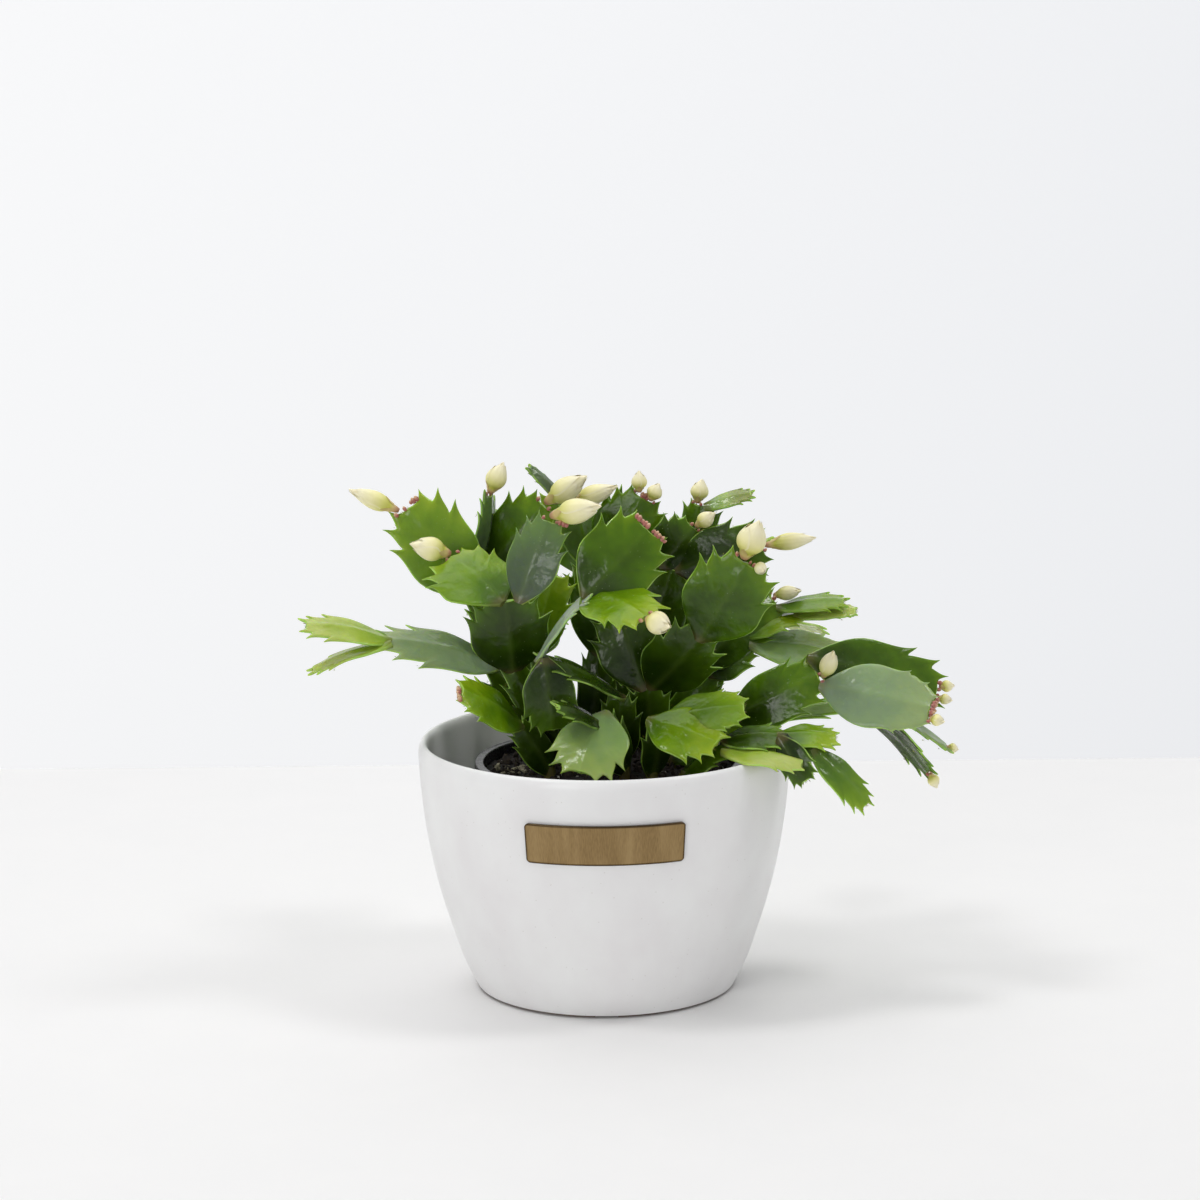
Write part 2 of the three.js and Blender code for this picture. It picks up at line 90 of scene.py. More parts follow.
# Lumps of the potting mix: height, size and seed
SOIL_LUMPS = [(0.9, 14, 0), (0.55, 4.5, 3), (0.25, 1.8, 7)]

# Stem foot: a round woody neck that stands in the potting mix and reaches into the first segment
FOOT = {"radius": 2.4, "depth": 9.8, "rise": 3.6, "reach": 1.6, "taper": 0.55, "sides": 16}

# Stem segment: a flat blade on a raised midrib, smooth below and clawed above. It folds and twists by
# shares of its half width, bows out by a share of its length, and has this many ripples along it
RIB_HALF = 1.25
RIB_REACH = 1.7
BODY_HALF = 0.6
FOLD = 0.12
ARCH = 0.06
TWIST = 0.22
RIPPLES = 1.7
ROUND_EDGE = 0.14
NECK = {"sunk": 2.6, "half": 1.9, "thick": 1.6}
APEX = 0.985
# Places of a row's points between the midrib and the margin
COLUMNS = np.array([0, 0.1, 0.22, 0.36, 0.5, 0.64, 0.77, 0.88, 0.95, 0.985, 1])
# The inset of points that are nowhere near a margin
FAR_IN = 9

# Areoles: place along and across in shares of length and half width, and the number of bristles
AREOLES = [(0.71, 0.8, 2), (0.71, -0.8, 2), (0.905, 0.6, 2), (0.905, -0.6, 2), (APEX - 0.01, 0.22, 3),
           (APEX - 0.012, 0, 3), (APEX - 0.01, -0.22, 3)]
BRISTLE_RADIUS = 0.13

# Buds: radius against length, both as shares, for the pericarp and the closed petals, and for a bead
BUD_OUTLINE = [(0, 0.24), (0.06, 0.38), (0.14, 0.49), (0.2, 0.57), (0.27, 0.76), (0.37, 0.94), (0.48, 1),
               (0.62, 0.88), (0.78, 0.57), (0.9, 0.26), (1, 0.03)]
BUD_GAP = 0.3
BUD_LEAN = 0.42
PETAL_GRID = (15, 11)
SCALE_GRID = (6, 5)
BEAD_OUTLINE = [(0, 0.5), (0.25, 0.92), (0.5, 1), (0.75, 0.75), (0.95, 0.28)]
BEAD_RADIUS = 1.2

# Stage: places in millimetres, angles in degrees, and lights in metres
CAMERA = {"place": (0, -1386.7, 422.4), "pitch": 10.835, "yaw": -0.045, "roll": -0.565, "lens": 106.5}
FLOOR = {"half_width": 2600, "near": -2600, "far": 377}
BACKDROP = {"half_width": 2600, "away": 2100, "low": -900, "high": 2600}
LIGHTS = {
    "overhead": {"place": (-0.2, 0.65, 1.8), "target": (0, 0, 0), "size": 1.6},
    "key": {"place": (-0.8, -0.2, 1.65), "target": (0, 0, 0.1), "size": 0.4},
    "fill": {"place": (0.95, -0.1, 1.6), "target": (0, 0, 0.1), "size": 0.45},
    "front": {"place": (-0.7, -1.5, 0.5), "target": (0, 0, 0.08), "size": 0.6},
}

# Tints of a segment: tone from old dark to young pale green, where the deep tone is partly painted shade on
# segments that sit in shade, grey bloom that is partly painted sheen of the bright studio, and purple blush
# at its edge
TINTS = {
    "deep": (0.12, 0.0, 0.1),
    "leaf": (0.31, 0.0, 0.1),
    "fresh": (0.5, 0.05, 0.05),
    "bright": (0.57, 0.0, 0.05),
    "young": (0.92, 0.1, 0.15),
    "sage": (0.54, 0.5, 0.1),
    "dusty": (0.6, 0.68, 0.1),
    "frosted": (0.85, 1.0, 0.0),
    "bluish": (0.22, 0.22, 0.1),
    "pale": (0.68, 0.3, 0.0),
    "olive": (0.8, 0.25, 0.9),
}


# The layout's words. A segment is given by the way from its joint to its apex, the way that its flat
# side looks, and its width; what follows grows from its apex. A bud is given by its way and width.
def segment(to, face, width, *grown):
    return {"kind": "segment", "to": to, "face": face, "width": width, "grown": grown, "offset": 0,
            "arch": ARCH, "toothing": 1, "tint": "leaf"}


def aside(offset, piece):
    return {**piece, "offset": offset}


def arched(arch, piece):
    return {**piece, "arch": arch}


def toothed(toothing, piece):
    return {**piece, "toothing": toothing}


def tinted(tint, piece):
    return {**piece, "tint": tint}


def bud(to, width):
    return {"kind": "bud", "to": to, "width": width, "offset": 0}


def beads(*offsets):
    return {"kind": "beads", "offsets": offsets, "offset": 0}


# The plant, stem by stem, left to right and front to back, each with its foot in the potting mix
STEMS = {
    "stem_left": ((-24, 6), tinted("deep", segment(
        (-20, -6, 39), (0.5, -0.8, 0.3), 18,
        tinted("dusty", segment(
            (-42, -16, 14), (0.1, -0.5, 0.85), 24,
            tinted("young", segment((-31, -8, 8), (0, -0.35, 0.95), 17)),
            tinted("young", aside(-3, segment((-29, -4, -9), (0, -0.15, 1), 13))))),
        aside(4, segment(
            (-12, 6, 27), (0.9, -0.4, 0.1), 20,
            tinted("fresh", segment(
                (-24, 0, 35), (0.15, -0.95, 0.3), 30,
                aside(-4, bud((-20, 0, 9), 7)),
                beads(3)))))))),
    "stem_left_front": ((-14, -4), tinted("deep", segment(
        (-22, -6, 40), (0.3, -0.9, 0.2), 18,
        tinted("deep", segment(
            (-2, -10, 30), (0.1, -0.95, -0.1), 31,
            tinted("fresh", aside(-3, segment(
                (-19.5, 14, 14.5), (0.25, -0.53, 0.88), 35,
                aside(2, bud((-16, -4, 5), 9))))),
            tinted("bluish", aside(6, segment(
                (11.5, 4, 30), (-0.3, -0.9, 0.1), 22,
                bud((20, -11, 5.5), 9.5),
                beads(6))))))))),
    "stem_left_back": ((-18, 24), tinted("deep", segment(
        (-14, 0, 38), (0.3, -0.9, 0), 16,
        tinted("bright", aside(4, segment((10, -4, 33), (-0.2, -0.95, 0.2), 20))),
        tinted("deep", aside(-3, segment(
            (-13, 4, 38), (0.3, -0.9, 0.1), 22,
            tinted("bluish", aside(-4, segment(
                (6, 2, 30), (1, -0.35, 0), 20,
                bud((6, 0, 13), 8)))),
            aside(4, segment(
                (21, -2, 24), (-0.2, -0.9, 0.3), 26,
                bud((17, -8, 12), 9.5))))))))),
    "stem_centre": ((6, -2), tinted("deep", segment(
        (0, -6, 28), (0, -1, 0), 17,
        tinted("deep", segment(
            (-30, -14, 18), (0.45, -0.1, 0.9), 20,
            tinted("frosted", aside(2, segment(
                (19, -2, 26), (-0.75, 0.1, 0.5), 24,
                aside(3, segment(
                    (24, 6, 25), (0, -1, 0.05), 32,
                    beads(-5, -2, 4, 7))),
                tinted("bright", aside(-3, segment(
                    (22, -26, -6), (0.1, -0.6, 0.75), 28,
                    bud((9, -10, -1.5), 8.5))))))),
            tinted("deep", aside(-4, segment((3, 0, -27), (0.1, -0.9, 0.1), 21)))))))),
    "stem_centre_right": ((20, 10), tinted("deep", segment(
        (-2, -8, 30), (-0.2, -0.9, 0.3), 20,
        tinted("deep", aside(-3, segment((-10, 4, 31), (0.1, -0.9, 0), 26))),
        tinted("deep", aside(2, segment(
            (19, -14, 23), (0.1, -0.95, -0.1), 28,
            segment(
                (18, -8, 31), (0, -1, 0.1), 33,
                aside(-2, bud((6, -4, 16), 11)),
                aside(4, bud((2, -8, -1), 4.5))))))))),
    "stem_arching": ((8, -16), tinted("deep", segment(
        (-9, -14, 23), (0.3, -0.8, 0.3), 16,
        tinted("deep", aside(-2, segment((-16, -9, 9), (0.5, -0.2, 0.85), 15))),
        tinted("pale", aside(2, segment((-10, -19, -18), (-0.2, -0.75, 0.6), 29)))))),
    "stem_front_left": ((-22, -16), tinted("deep", segment(
        (-12, -6, 20), (0.2, -0.8, 0.5), 14,
        tinted("bright", toothed(0.7, segment(
            (-22, -14, 17), (0.1, -0.55, 0.8), 22,
            beads(-4, 0))))))),
    "stem_right": ((28, 4), segment(
        (24, -10, 18), (0.1, -0.7, 0.7), 20,
        segment(
            (34, -4, 18), (-0.1, -0.85, 0.45), 23,
            tinted("dusty", aside(5.5, toothed(0.35, segment(
                (41, -14, -6), (0.1, -0.88, 0.45), 27,
                aside(4, bud((6, -2, -1), 4.5)),
                beads(-1.5, 0.3))))),
            aside(-7, segment(
                (51, 10, -15), (0, -0.88, 0.45), 27,
                aside(-1.5, bud((6.5, 1, 0), 4.5)),
                aside(3.2, bud((6, -1, -1), 4)))),
            aside(1, bud((3.5, -13, 13), 6.5))))),
    "stem_right_low": ((36, 11), segment(
        (16, -5, 15), (0.1, -0.5, 0.85), 16,
        tinted("fresh", arched(0.01, segment(
            (50, -4, 7), (0, -0.35, 0.93), 14,
            tinted("deep", aside(2, segment(
                (28, -8, -26), (0.7, 0.5, 0.7), 17,
                bud((3, -1, -6), 4.5)))),
            tinted("sage", aside(-3, segment(
                (36, 3, -21), (0.35, -0.1, 0.93), 16,
                bud((5, 0, -1), 4))))))))),
    "stem_front": ((19, -22), tinted("deep", segment(
        (3, -6, 22), (0.3, -0.6, 0.7), 14,
        tinted("fresh", aside(3, toothed(0.6, segment((31, -4, 6), (0, -0.5, 0.85), 22)))),
        tinted("bright", aside(-3, segment((25, -14, -6), (0, -0.65, 0.75), 25)))))),
    "stem_front_right": ((32, -26), segment(
        (16, -8, 14), (0.1, -0.5, 0.85), 16,
        aside(-2, segment(
            (22, -2, 2), (0, -0.25, 0.97), 19,
            tinted("bright", segment((21, 0, -1), (0, -0.3, 0.95), 17)),
            tinted("deep", aside(3, segment(
                (13, -3, -5), (0.3, -0.6, 0.7), 12,
                tinted("fresh", segment((19, -6, -20), (0.5, -0.75, 0.4), 14))))),
            tinted("deep", aside(6, segment((9, -6, -14), (-0.3, -0.9, 0.3), 13))))),
        tinted("young", aside(5, toothed(0.6, segment((29.5, -8, -2.8), (0.1, -0.2, 0.97), 21)))))),
    "stem_right_back": ((24, 27), segment(
        (20, -1, 30), (0.3, -0.8, 0.4), 16,
        segment(
            (16, -2, 14), (0, -0.6, 0.8), 22,
            tinted("pale", aside(4, toothed(0.5, segment((38, -2, -5), (0.05, -0.45, 0.88), 24)))),
            tinted("bright", aside(-3, segment(
                (21, -2, 8), (0, -0.3, 0.95), 18,
                tinted("young", toothed(0.2, segment((23, -2, 2), (0, -0.35, 0.9), 12))))))),
        aside(-5, segment(
            (31, 3, 26), (-0.3, -0.8, 0.5), 22,
            tinted("fresh", aside(4, segment((25, -4, 3), (0, -0.25, 1), 16))),
            aside(-3, bud((11, -7, 3), 5.5)))))),
    "stem_top_right": ((10, 22), tinted("deep", segment(
        (6, -2, 38), (0, -1, 0.2), 17,
        tinted("deep", segment(
            (12, -4, 38), (0, -1, 0.2), 24,
            tinted("deep", aside(4, segment(
                (33, -4, 10), (0, -0.95, 0.2), 26,
                bud((21, 0, 3), 6.5)))),
            tinted("deep", aside(-4, segment(
                (13, 2, 14), (-0.1, -0.95, 0.1), 24,
                bud((8, -2, 6), 6),
                beads(5))))))))),
    "stem_top": ((-4, 30), tinted("deep", segment(
        (2, 2, 38), (0, -1, 0.2), 16,
        segment(
            (0, 0, 38), (0, -1, 0.2), 23,
            aside(4, segment(
                (15, -2, 26), (0, -0.85, 0.4), 27,
                aside(-2.5, bud((0, 0, 9), 6)),
                aside(3, bud((4, 0, 7), 6)),
                beads(0.3))),
            aside(-5, segment(
                (-5, 2, 22), (0.7, -0.7, 0.2), 21,
                tinted("bluish", aside(-4, toothed(0.3, segment((-15, 0, 17), (0.8, -0.5, 0.3), 6.5)))),
                bud((19, -12, 8), 7.5))))))),
    "stem_back_top": ((18, 36), tinted("deep", segment(
        (6, 4, 38), (0.2, 1, 0), 17,
        segment(
            (18, 2, 31), (0.3, 1, 0), 23,
            aside(4, segment(
                (2, -2, 26), (-0.4, -0.85, 0.1), 21,
                aside(-2, bud((2, 0, 10), 7)),
                tinted("olive", aside(4, segment((17, -2, 5), (0, -0.5, 0.85), 10))))),
            tinted("bright", aside(-5, segment((20, 16, 12), (0.3, 0.5, 0.8), 24))))))),
    "stem_back_left": ((-20, 38), segment(
        (-15, 8, 32), (-0.2, 0.95, 0.2), 17,
        aside(4, segment(
            (-14, 20, 24), (-0.1, 0.7, 0.7), 26,
            tinted("bright", segment((-4, 28, -4), (0, 0.1, 1), 23)))),
        aside(-4, segment(
            (4, 24, 16), (0.2, 0.6, 0.75), 24,
            tinted("fresh", segment((0, 28, -14), (0.1, 0.4, 0.9), 22)))))),
    "stem_back": ((2, 44), tinted("deep", segment(
        (0, 6, 36), (0, 1, 0.2), 17,
        segment(
            (-8, 4, 34), (0.2, 1, 0.1), 25,
            tinted("fresh", aside(4, segment((-10, 8, 30), (0.1, 0.95, 0.3), 24))),
            aside(-4, segment((18, 14, 24), (-0.1, 0.9, 0.4), 25)))))),
    "stem_back_right": ((32, 32), segment(
        (14, 16, 28), (0.5, 0.7, 0.4), 17,
        aside(-3, segment(
            (22, 16, 16), (0.3, 0.5, 0.8), 25,
            tinted("young", segment((18, 20, -8), (0.1, 0.3, 0.95), 22)))),
        aside(4, segment(
            (0, 28, 18), (0.2, 0.7, 0.7), 25,
            tinted("bright", segment((-4, 28, -8), (0, 0.3, 0.95), 22)))))),
}


# Numbers and curves

def draw(number, place):
    """A repeatable draw between 0 and 1 for a piece's number and a place on it."""
    wave = math.sin(number * 12.9898 + place * 78.233) * 43758.5453
    return wave - math.floor(wave)


def unit(values):
    vector = np.asarray(values, float)
    return vector / np.linalg.norm(vector)


def smoothstep(low, high, value):
    share = np.clip((value - low) / (high - low), 0, 1)
    return share * share * (3 - 2 * share)


def bezier(points, steps):
    """Points on a cubic curve, without its last one."""
    t = np.linspace(0, 1, steps, endpoint=False)[:, None]
    a, b, c, d = (np.asarray(point, float) for point in points)
    return (1 - t) ** 3 * a + 3 * (1 - t) ** 2 * t * b + 3 * (1 - t) * t ** 2 * c + t ** 3 * d


def smooth_outline(outline, steps):
    """A rounder version of an outline of (place, value) points, through the same points."""
    places, values = np.array(outline, float).T
    slopes = np.gradient(values, places)
    fine = np.linspace(places[0], places[-1], steps)
    index = np.clip(np.searchsorted(places, fine, side="right") - 1, 0, len(places) - 2)
    width = places[index + 1] - places[index]
    t = (fine - places[index]) / width
    low, high = values[index], values[index + 1]
    start, end = slopes[index] * width, slopes[index + 1] * width
    curve = ((2 * t ** 3 - 3 * t ** 2 + 1) * low + (t ** 3 - 2 * t ** 2 + t) * start
             + (3 * t ** 2 - 2 * t ** 3) * high + (t ** 3 - t ** 2) * end)
    return np.column_stack([fine, curve])


def wobble(point, size, seed=0.0):
    """Smooth noise between about -1 and 1, with features of the given size in millimetres."""
    return noise.noise(Vector(point) / size + Vector((seed, 0, 0)))


# Meshes

class Shell:
    """Vertices, faces and named values that become one mesh. Each part gives the same names of values."""

    def __init__(self):
        self.points = []
        self.faces = []
        self.values = {}
        self.count = 0

    def add(self, points, faces, **values):
        points = np.asarray(points, float).reshape(-1, 3)
        offset = self.count
        self.points.append(points)
        self.faces.extend([offset + corner for corner in face] for face in faces)
        for name, value in values.items():
            self.values.setdefault(name, []).append(np.broadcast_to(np.ravel(value), (len(points),)))
        self.count += len(points)

    def make(self, name, material, weld=0.0, sharp=40):
        mesh = bpy.data.meshes.new(name)
        points = np.concatenate(self.points) * MM
        mesh.from_pydata(points.tolist(), [], self.faces)
        for value_name, parts in self.values.items():
            attribute = mesh.attributes.new(value_name, "FLOAT", "POINT")
            attribute.data.foreach_set("value", np.concatenate(parts).astype(np.float32))
        if weld:
            join_near_points(mesh, weld)
        mesh.shade_smooth()
        mesh.set_sharp_from_angle(angle=math.radians(sharp))
        mesh.materials.append(material)
        return add_object(name, mesh)


def add_object(name, data):
    """Puts a mesh, a light or a camera into the scene."""
    thing = bpy.data.objects.new(name, data)
    bpy.context.scene.collection.objects.link(thing)
    return thing


def join_near_points(mesh, distance):
    """Joins points within a distance in millimetres and drops the faces that this leaves without area."""
    joined = bmesh.new()
    joined.from_mesh(mesh)
    bmesh.ops.remove_doubles(joined, verts=joined.verts, dist=distance * MM)
    bmesh.ops.dissolve_degenerate(joined, edges=joined.edges, dist=distance * MM / 4)
    joined.to_mesh(mesh)
    joined.free()


def grid_faces(rows, columns, closed=False):
    """Quads over a grid of points that is listed row by row."""
    faces = []
    for row in range(rows - 1):
        for column in range(columns if closed else columns - 1):
            after = (column + 1) % columns
            faces.append([row * columns + column, row * columns + after,
                          (row + 1) * columns + after, (row + 1) * columns + column])
    return faces


def sheet_faces(rows, columns):
    """Faces of a closed sheet: a grid of points outside, one inside, and a strip round their edges."""
    faces = grid_faces(rows, columns)
    inside = rows * columns
    faces += [[inside + corner for corner in face[::-1]] for face in faces]
    grid = np.arange(inside).reshape(rows, columns)
    edge = np.concatenate([grid[0], grid[1:, -1], grid[-1, -2::-1], grid[-2:0:-1, 0]]).tolist()
    for here, after in zip(edge, edge[1:] + edge[:1]):
        faces.append([here, inside + here, inside + after, after])
    return faces


def turned(profile, sides, centre=(0, 0)):
    """Points and faces of a solid turned about +Z. The profile of (height, radius) goes from axis to axis."""
    heights, radii = np.array(profile[1:-1], float).T
    angles = np.arange(sides) / sides * 2 * math.pi
    ring = np.column_stack([np.cos(angles), np.sin(angles)])
    points = np.zeros((len(heights), sides, 3))
    points[..., :2] = radii[:, None, None] * ring + np.array(centre)
    points[..., 2] = heights[:, None]
    faces = grid_faces(len(heights), sides, closed=True)
    last = len(heights) * sides
    for side in range(sides):
        after = (side + 1) % sides
        faces.append([last, after, side])
        faces.append([last + 1, last - sides + side, last - sides + after])
    ends = [[*centre, profile[0][0]], [*centre, profile[-1][0]]]
    return np.concatenate([points.reshape(-1, 3), ends]), faces


def dress(piece, slot, *nodes):
    """Hangs a finished piece on the root body and hides the plain nodes that it stands for; its slot is not
    used.
    """
    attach(piece, "root")
    if nodes:
        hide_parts(*nodes)


def cut(piece, cutters):
    """Cuts closed meshes out of a piece and keeps the result as its mesh."""
    for cutter in cutters:
        modifier = piece.modifiers.new("cut", "BOOLEAN")
        modifier.operation = "DIFFERENCE"
        modifier.solver = "EXACT"
        modifier.object = cutter
    evaluated = piece.evaluated_get(bpy.context.evaluated_depsgraph_get())
    mesh = bpy.data.meshes.new_from_object(evaluated)
    piece.modifiers.clear()
    piece.data = mesh
    join_near_points(mesh, JOIN)
    mesh.set_sharp_from_angle(angle=math.radians(CUT_EDGE))
    for cutter in cutters:
        bpy.data.objects.remove(cutter)


# Materials

def linear(colour):
    """A linear colour with its alpha, from an sRGB hex value or from a setting, which is linear already."""
    if not isinstance(colour, str):
        return (*colour, 1)
    channels = [int(colour[start:start + 2], 16) / 255 for start in (1, 3, 5)]
    return (*(c / 12.92 if c <= 0.04045 else ((c + 0.055) / 1.055) ** 2.4 for c in channels), 1)


def feed(node, inputs):
    """Gives a node's inputs, by name or in their order, a number, a colour or another node's output."""
    for name, value in inputs.items() if isinstance(inputs, dict) else enumerate(inputs):
        socket = node.inputs[name]
        if isinstance(value, bpy.types.NodeSocket):
            node.id_data.links.new(value, socket)
        else:
            socket.default_value = linear(value) if socket.type == "RGBA" else value


def add_node(tree, kind, inputs=(), settings=None, output=0, stops=()):
    """Adds a node with its settings, its links and a ramp's (place, colour) stops, and returns an output."""
    node = tree.nodes.new(f"ShaderNode{kind}")
    for name, value in (settings or {}).items():
        setattr(node, name, value)
    feed(node, inputs)
    for _ in stops[2:]:
        node.color_ramp.elements.new(0.5)
    for index, (place, colour) in enumerate(stops):
        node.color_ramp.elements[index].position = place
        node.color_ramp.elements[index].color = linear(colour)
    return node.outputs[output]


# Settings of nodes, how strong the finer layers of a noise are, and a colour Mix node's sockets
ADD = {"operation": "ADD"}
MULTIPLY = {"operation": "MULTIPLY"}
DIVIDE = {"operation": "DIVIDE"}
SCALE = {"operation": "SCALE"}
COLOURS = {"data_type": "RGBA"}
ROUGH = 0.55
SHARE, LOW, HIGH, MIXED = 0, 6, 7, 2


def new_material(name, *values):
    """A material and its shader and tree, the place on the piece in millimetres, so that a pattern's scale
    is one over its real size, and the values of these names that the mesh holds for its points."""
    material = bpy.data.materials.new(name)
    material.use_nodes = True
    tree = material.node_tree
    place = add_node(tree, "TexCoord", output="Object")
    place = add_node(tree, "VectorMath", {0: place, "Scale": 1 / MM}, SCALE)
    held = [add_node(tree, "Attribute", (), {"attribute_name": value}, "Fac") for value in values]
    return material, tree.nodes["Principled BSDF"], tree, place, *held


def glazed_stoneware(colour):
    """White stoneware, dipped in a satin glaze and fired: soft broad highlights, a faint orange-peel
    surface, and slightly greyer clouds where the glaze lies thin."""
    material, shader, tree, place = new_material("glazed_stoneware")
    # Clouds 26 mm across and 40 mm high, because the glaze runs down
    run = add_node(tree, "VectorMath", (place, (26, 26, 40)), DIVIDE)
    clouds = add_node(tree, "TexNoise", {"Vector": run, "Scale": 1, "Detail": 3, "Roughness": ROUGH})
    thin = add_node(tree, "MapRange", (clouds, 0.35, 0.7, 0, 1))
    glaze = add_node(tree, "Mix", {SHARE: thin, LOW: colour, HIGH: "#e9e7e7"}, COLOURS, MIXED)
    # Iron specks in the clay, 0.3 mm, drawn as coarse as 0.5 mm so that they show
    specks = add_node(tree, "TexVoronoi", {"Vector": place, "Scale": 1 / 3.5})
    speck = add_node(tree, "MapRange", (specks, 0.05, 0.09, 0.35, 0))
    speckled = add_node(tree, "Mix", {SHARE: speck, LOW: glaze, HIGH: "#b9b4aa"}, COLOURS, MIXED)
    # The lowest 1 mm is brown: partly the foot wiped bare of glaze, partly painted contact shade where the
    # pot meets the floor
    height = add_node(tree, "SeparateXYZ", (place,), output="Z")
    bare = add_node(tree, "MapRange", (height, 0.85, 1.15, 1, 0))
    dull = add_node(tree, "TexNoise", {"Vector": run, "Scale": 1, "Detail": 1, "Roughness": ROUGH})
    waves = add_node(tree, "TexNoise", {"Vector": place, "Scale": 1 / 22, "Detail": 0, "Roughness": ROUGH})
    feed(shader, {
        "Base Color": add_node(tree, "Mix", {SHARE: bare, LOW: speckled, HIGH: "#6e594d"}, COLOURS, MIXED),
        "Roughness": add_node(tree, "MapRange", (dull, 0.3, 0.7, 0.33, 0.37)),
        "IOR": 1.5,
        "Normal": add_node(tree, "Bump", {"Height": waves, "Distance": 0.08 * MM, "Strength": 0.15})})
    return material


def antique_brass(colour):
    """Stamped brass, darkened in a patina bath and brushed back: fine upright brush lines, brown tarnish
    left along the edges, lighter upright bands of painted reflection, and a dull metallic sheen."""
    material, shader, tree, place, border = new_material("antique_brass", "border")
    # Brush lines 0.12 mm apart and 20 mm long, drawn 0.35 mm apart and longer so that they show
    brushed = add_node(tree, "VectorMath", (place, (0.35, 0.35, 90)), DIVIDE)
    lines = add_node(tree, "TexNoise", {"Vector": brushed, "Scale": 1, "Detail": 1, "Roughness": ROUGH})
    line = add_node(tree, "MapRange", (lines, 0.3, 0.7, 0, 1))
    streaks = add_node(tree, "Mix", {SHARE: line, LOW: "#836c4a", HIGH: colour}, COLOURS, MIXED)
    # Painted reflections: lighter upright bands 6 mm wide, from top to bottom, standing in for the studio's
    # reflection on the bent metal
    reflection_band_place = add_node(tree, "VectorMath", (place, (6, 6, 200)), DIVIDE)
    reflection_band_noise = add_node(tree, "TexNoise", {"Vector": reflection_band_place, "Scale": 1, "Detail": 1, "Roughness": ROUGH})
    painted_reflection_band = add_node(tree, "MapRange", (reflection_band_noise, 0.4, 0.65, 0, 0.45))
    with_painted_reflection_bands = add_node(tree, "Mix", {SHARE: painted_reflection_band, LOW: streaks, HIGH: "#b39a6e"}, COLOURS, MIXED)
    tarnish = add_node(tree, "MapRange", (border, 0.25, 0.8, 0, 0.85))
    feed(shader, {
        "Base Color": add_node(tree, "Mix", {SHARE: tarnish, LOW: with_painted_reflection_bands, HIGH: "#3a2d20"}, COLOURS, MIXED),
        "Roughness": add_node(tree, "MapRange", (lines, 0.3, 0.7, 0.36, 0.29)),
        "Metallic": 1,
        "Normal": add_node(tree, "Bump", {"Height": lines, "Distance": 0.02 * MM, "Strength": 0.4})})
    return material


def moulded_polypropylene():
    """Thin black polypropylene, injection moulded: a soft sheen, fine grain and a little dust from the
    potting mix."""
    material, shader, tree, place = new_material("moulded_polypropylene")
    drifts = add_node(tree, "TexNoise", {"Vector": place, "Scale": 1 / 6, "Detail": 3, "Roughness": ROUGH})
    dust = add_node(tree, "MapRange", (drifts, 0.5, 0.8, 0, 0.3))
    dull = add_node(tree, "TexNoise", {"Vector": place, "Scale": 1 / 3, "Detail": 3, "Roughness": ROUGH})
    grain = add_node(tree, "TexNoise", {"Vector": place, "Scale": 1 / 0.5, "Detail": 2, "Roughness": ROUGH})
    feed(shader, {
        "Base Color": add_node(tree, "Mix", {SHARE: dust, LOW: "#0e0f11", HIGH: "#3a352f"}, COLOURS, MIXED),
        "Roughness": add_node(tree, "MapRange", (dull, 0.3, 0.7, 0.2, 0.32)),
        "Normal": add_node(tree, "Bump", {"Height": grain, "Distance": 0.04 * MM, "Strength": 0.4})})
    return material


def peat_mix(name, dark, light):
    """Damp peat, bark or grit: matt, rough and broken into crumbs of 1 to 3 mm."""
    material, shader, tree, place = new_material(name)
    crumbs = add_node(tree, "TexNoise", {"Vector": place, "Scale": 1 / 1.6, "Detail": 5, "Roughness": 0.65})
    crumb = add_node(tree, "MapRange", (crumbs, 0.35, 0.75, 0, 1))
    feed(shader, {
        "Base Color": add_node(tree, "Mix", {SHARE: crumb, LOW: dark, HIGH: light}, COLOURS, MIXED),
        "Roughness": 0.92,
        "Normal": add_node(tree, "Bump", {"Height": crumbs, "Distance": 0.8 * MM, "Strength": 0.8})})
    return material


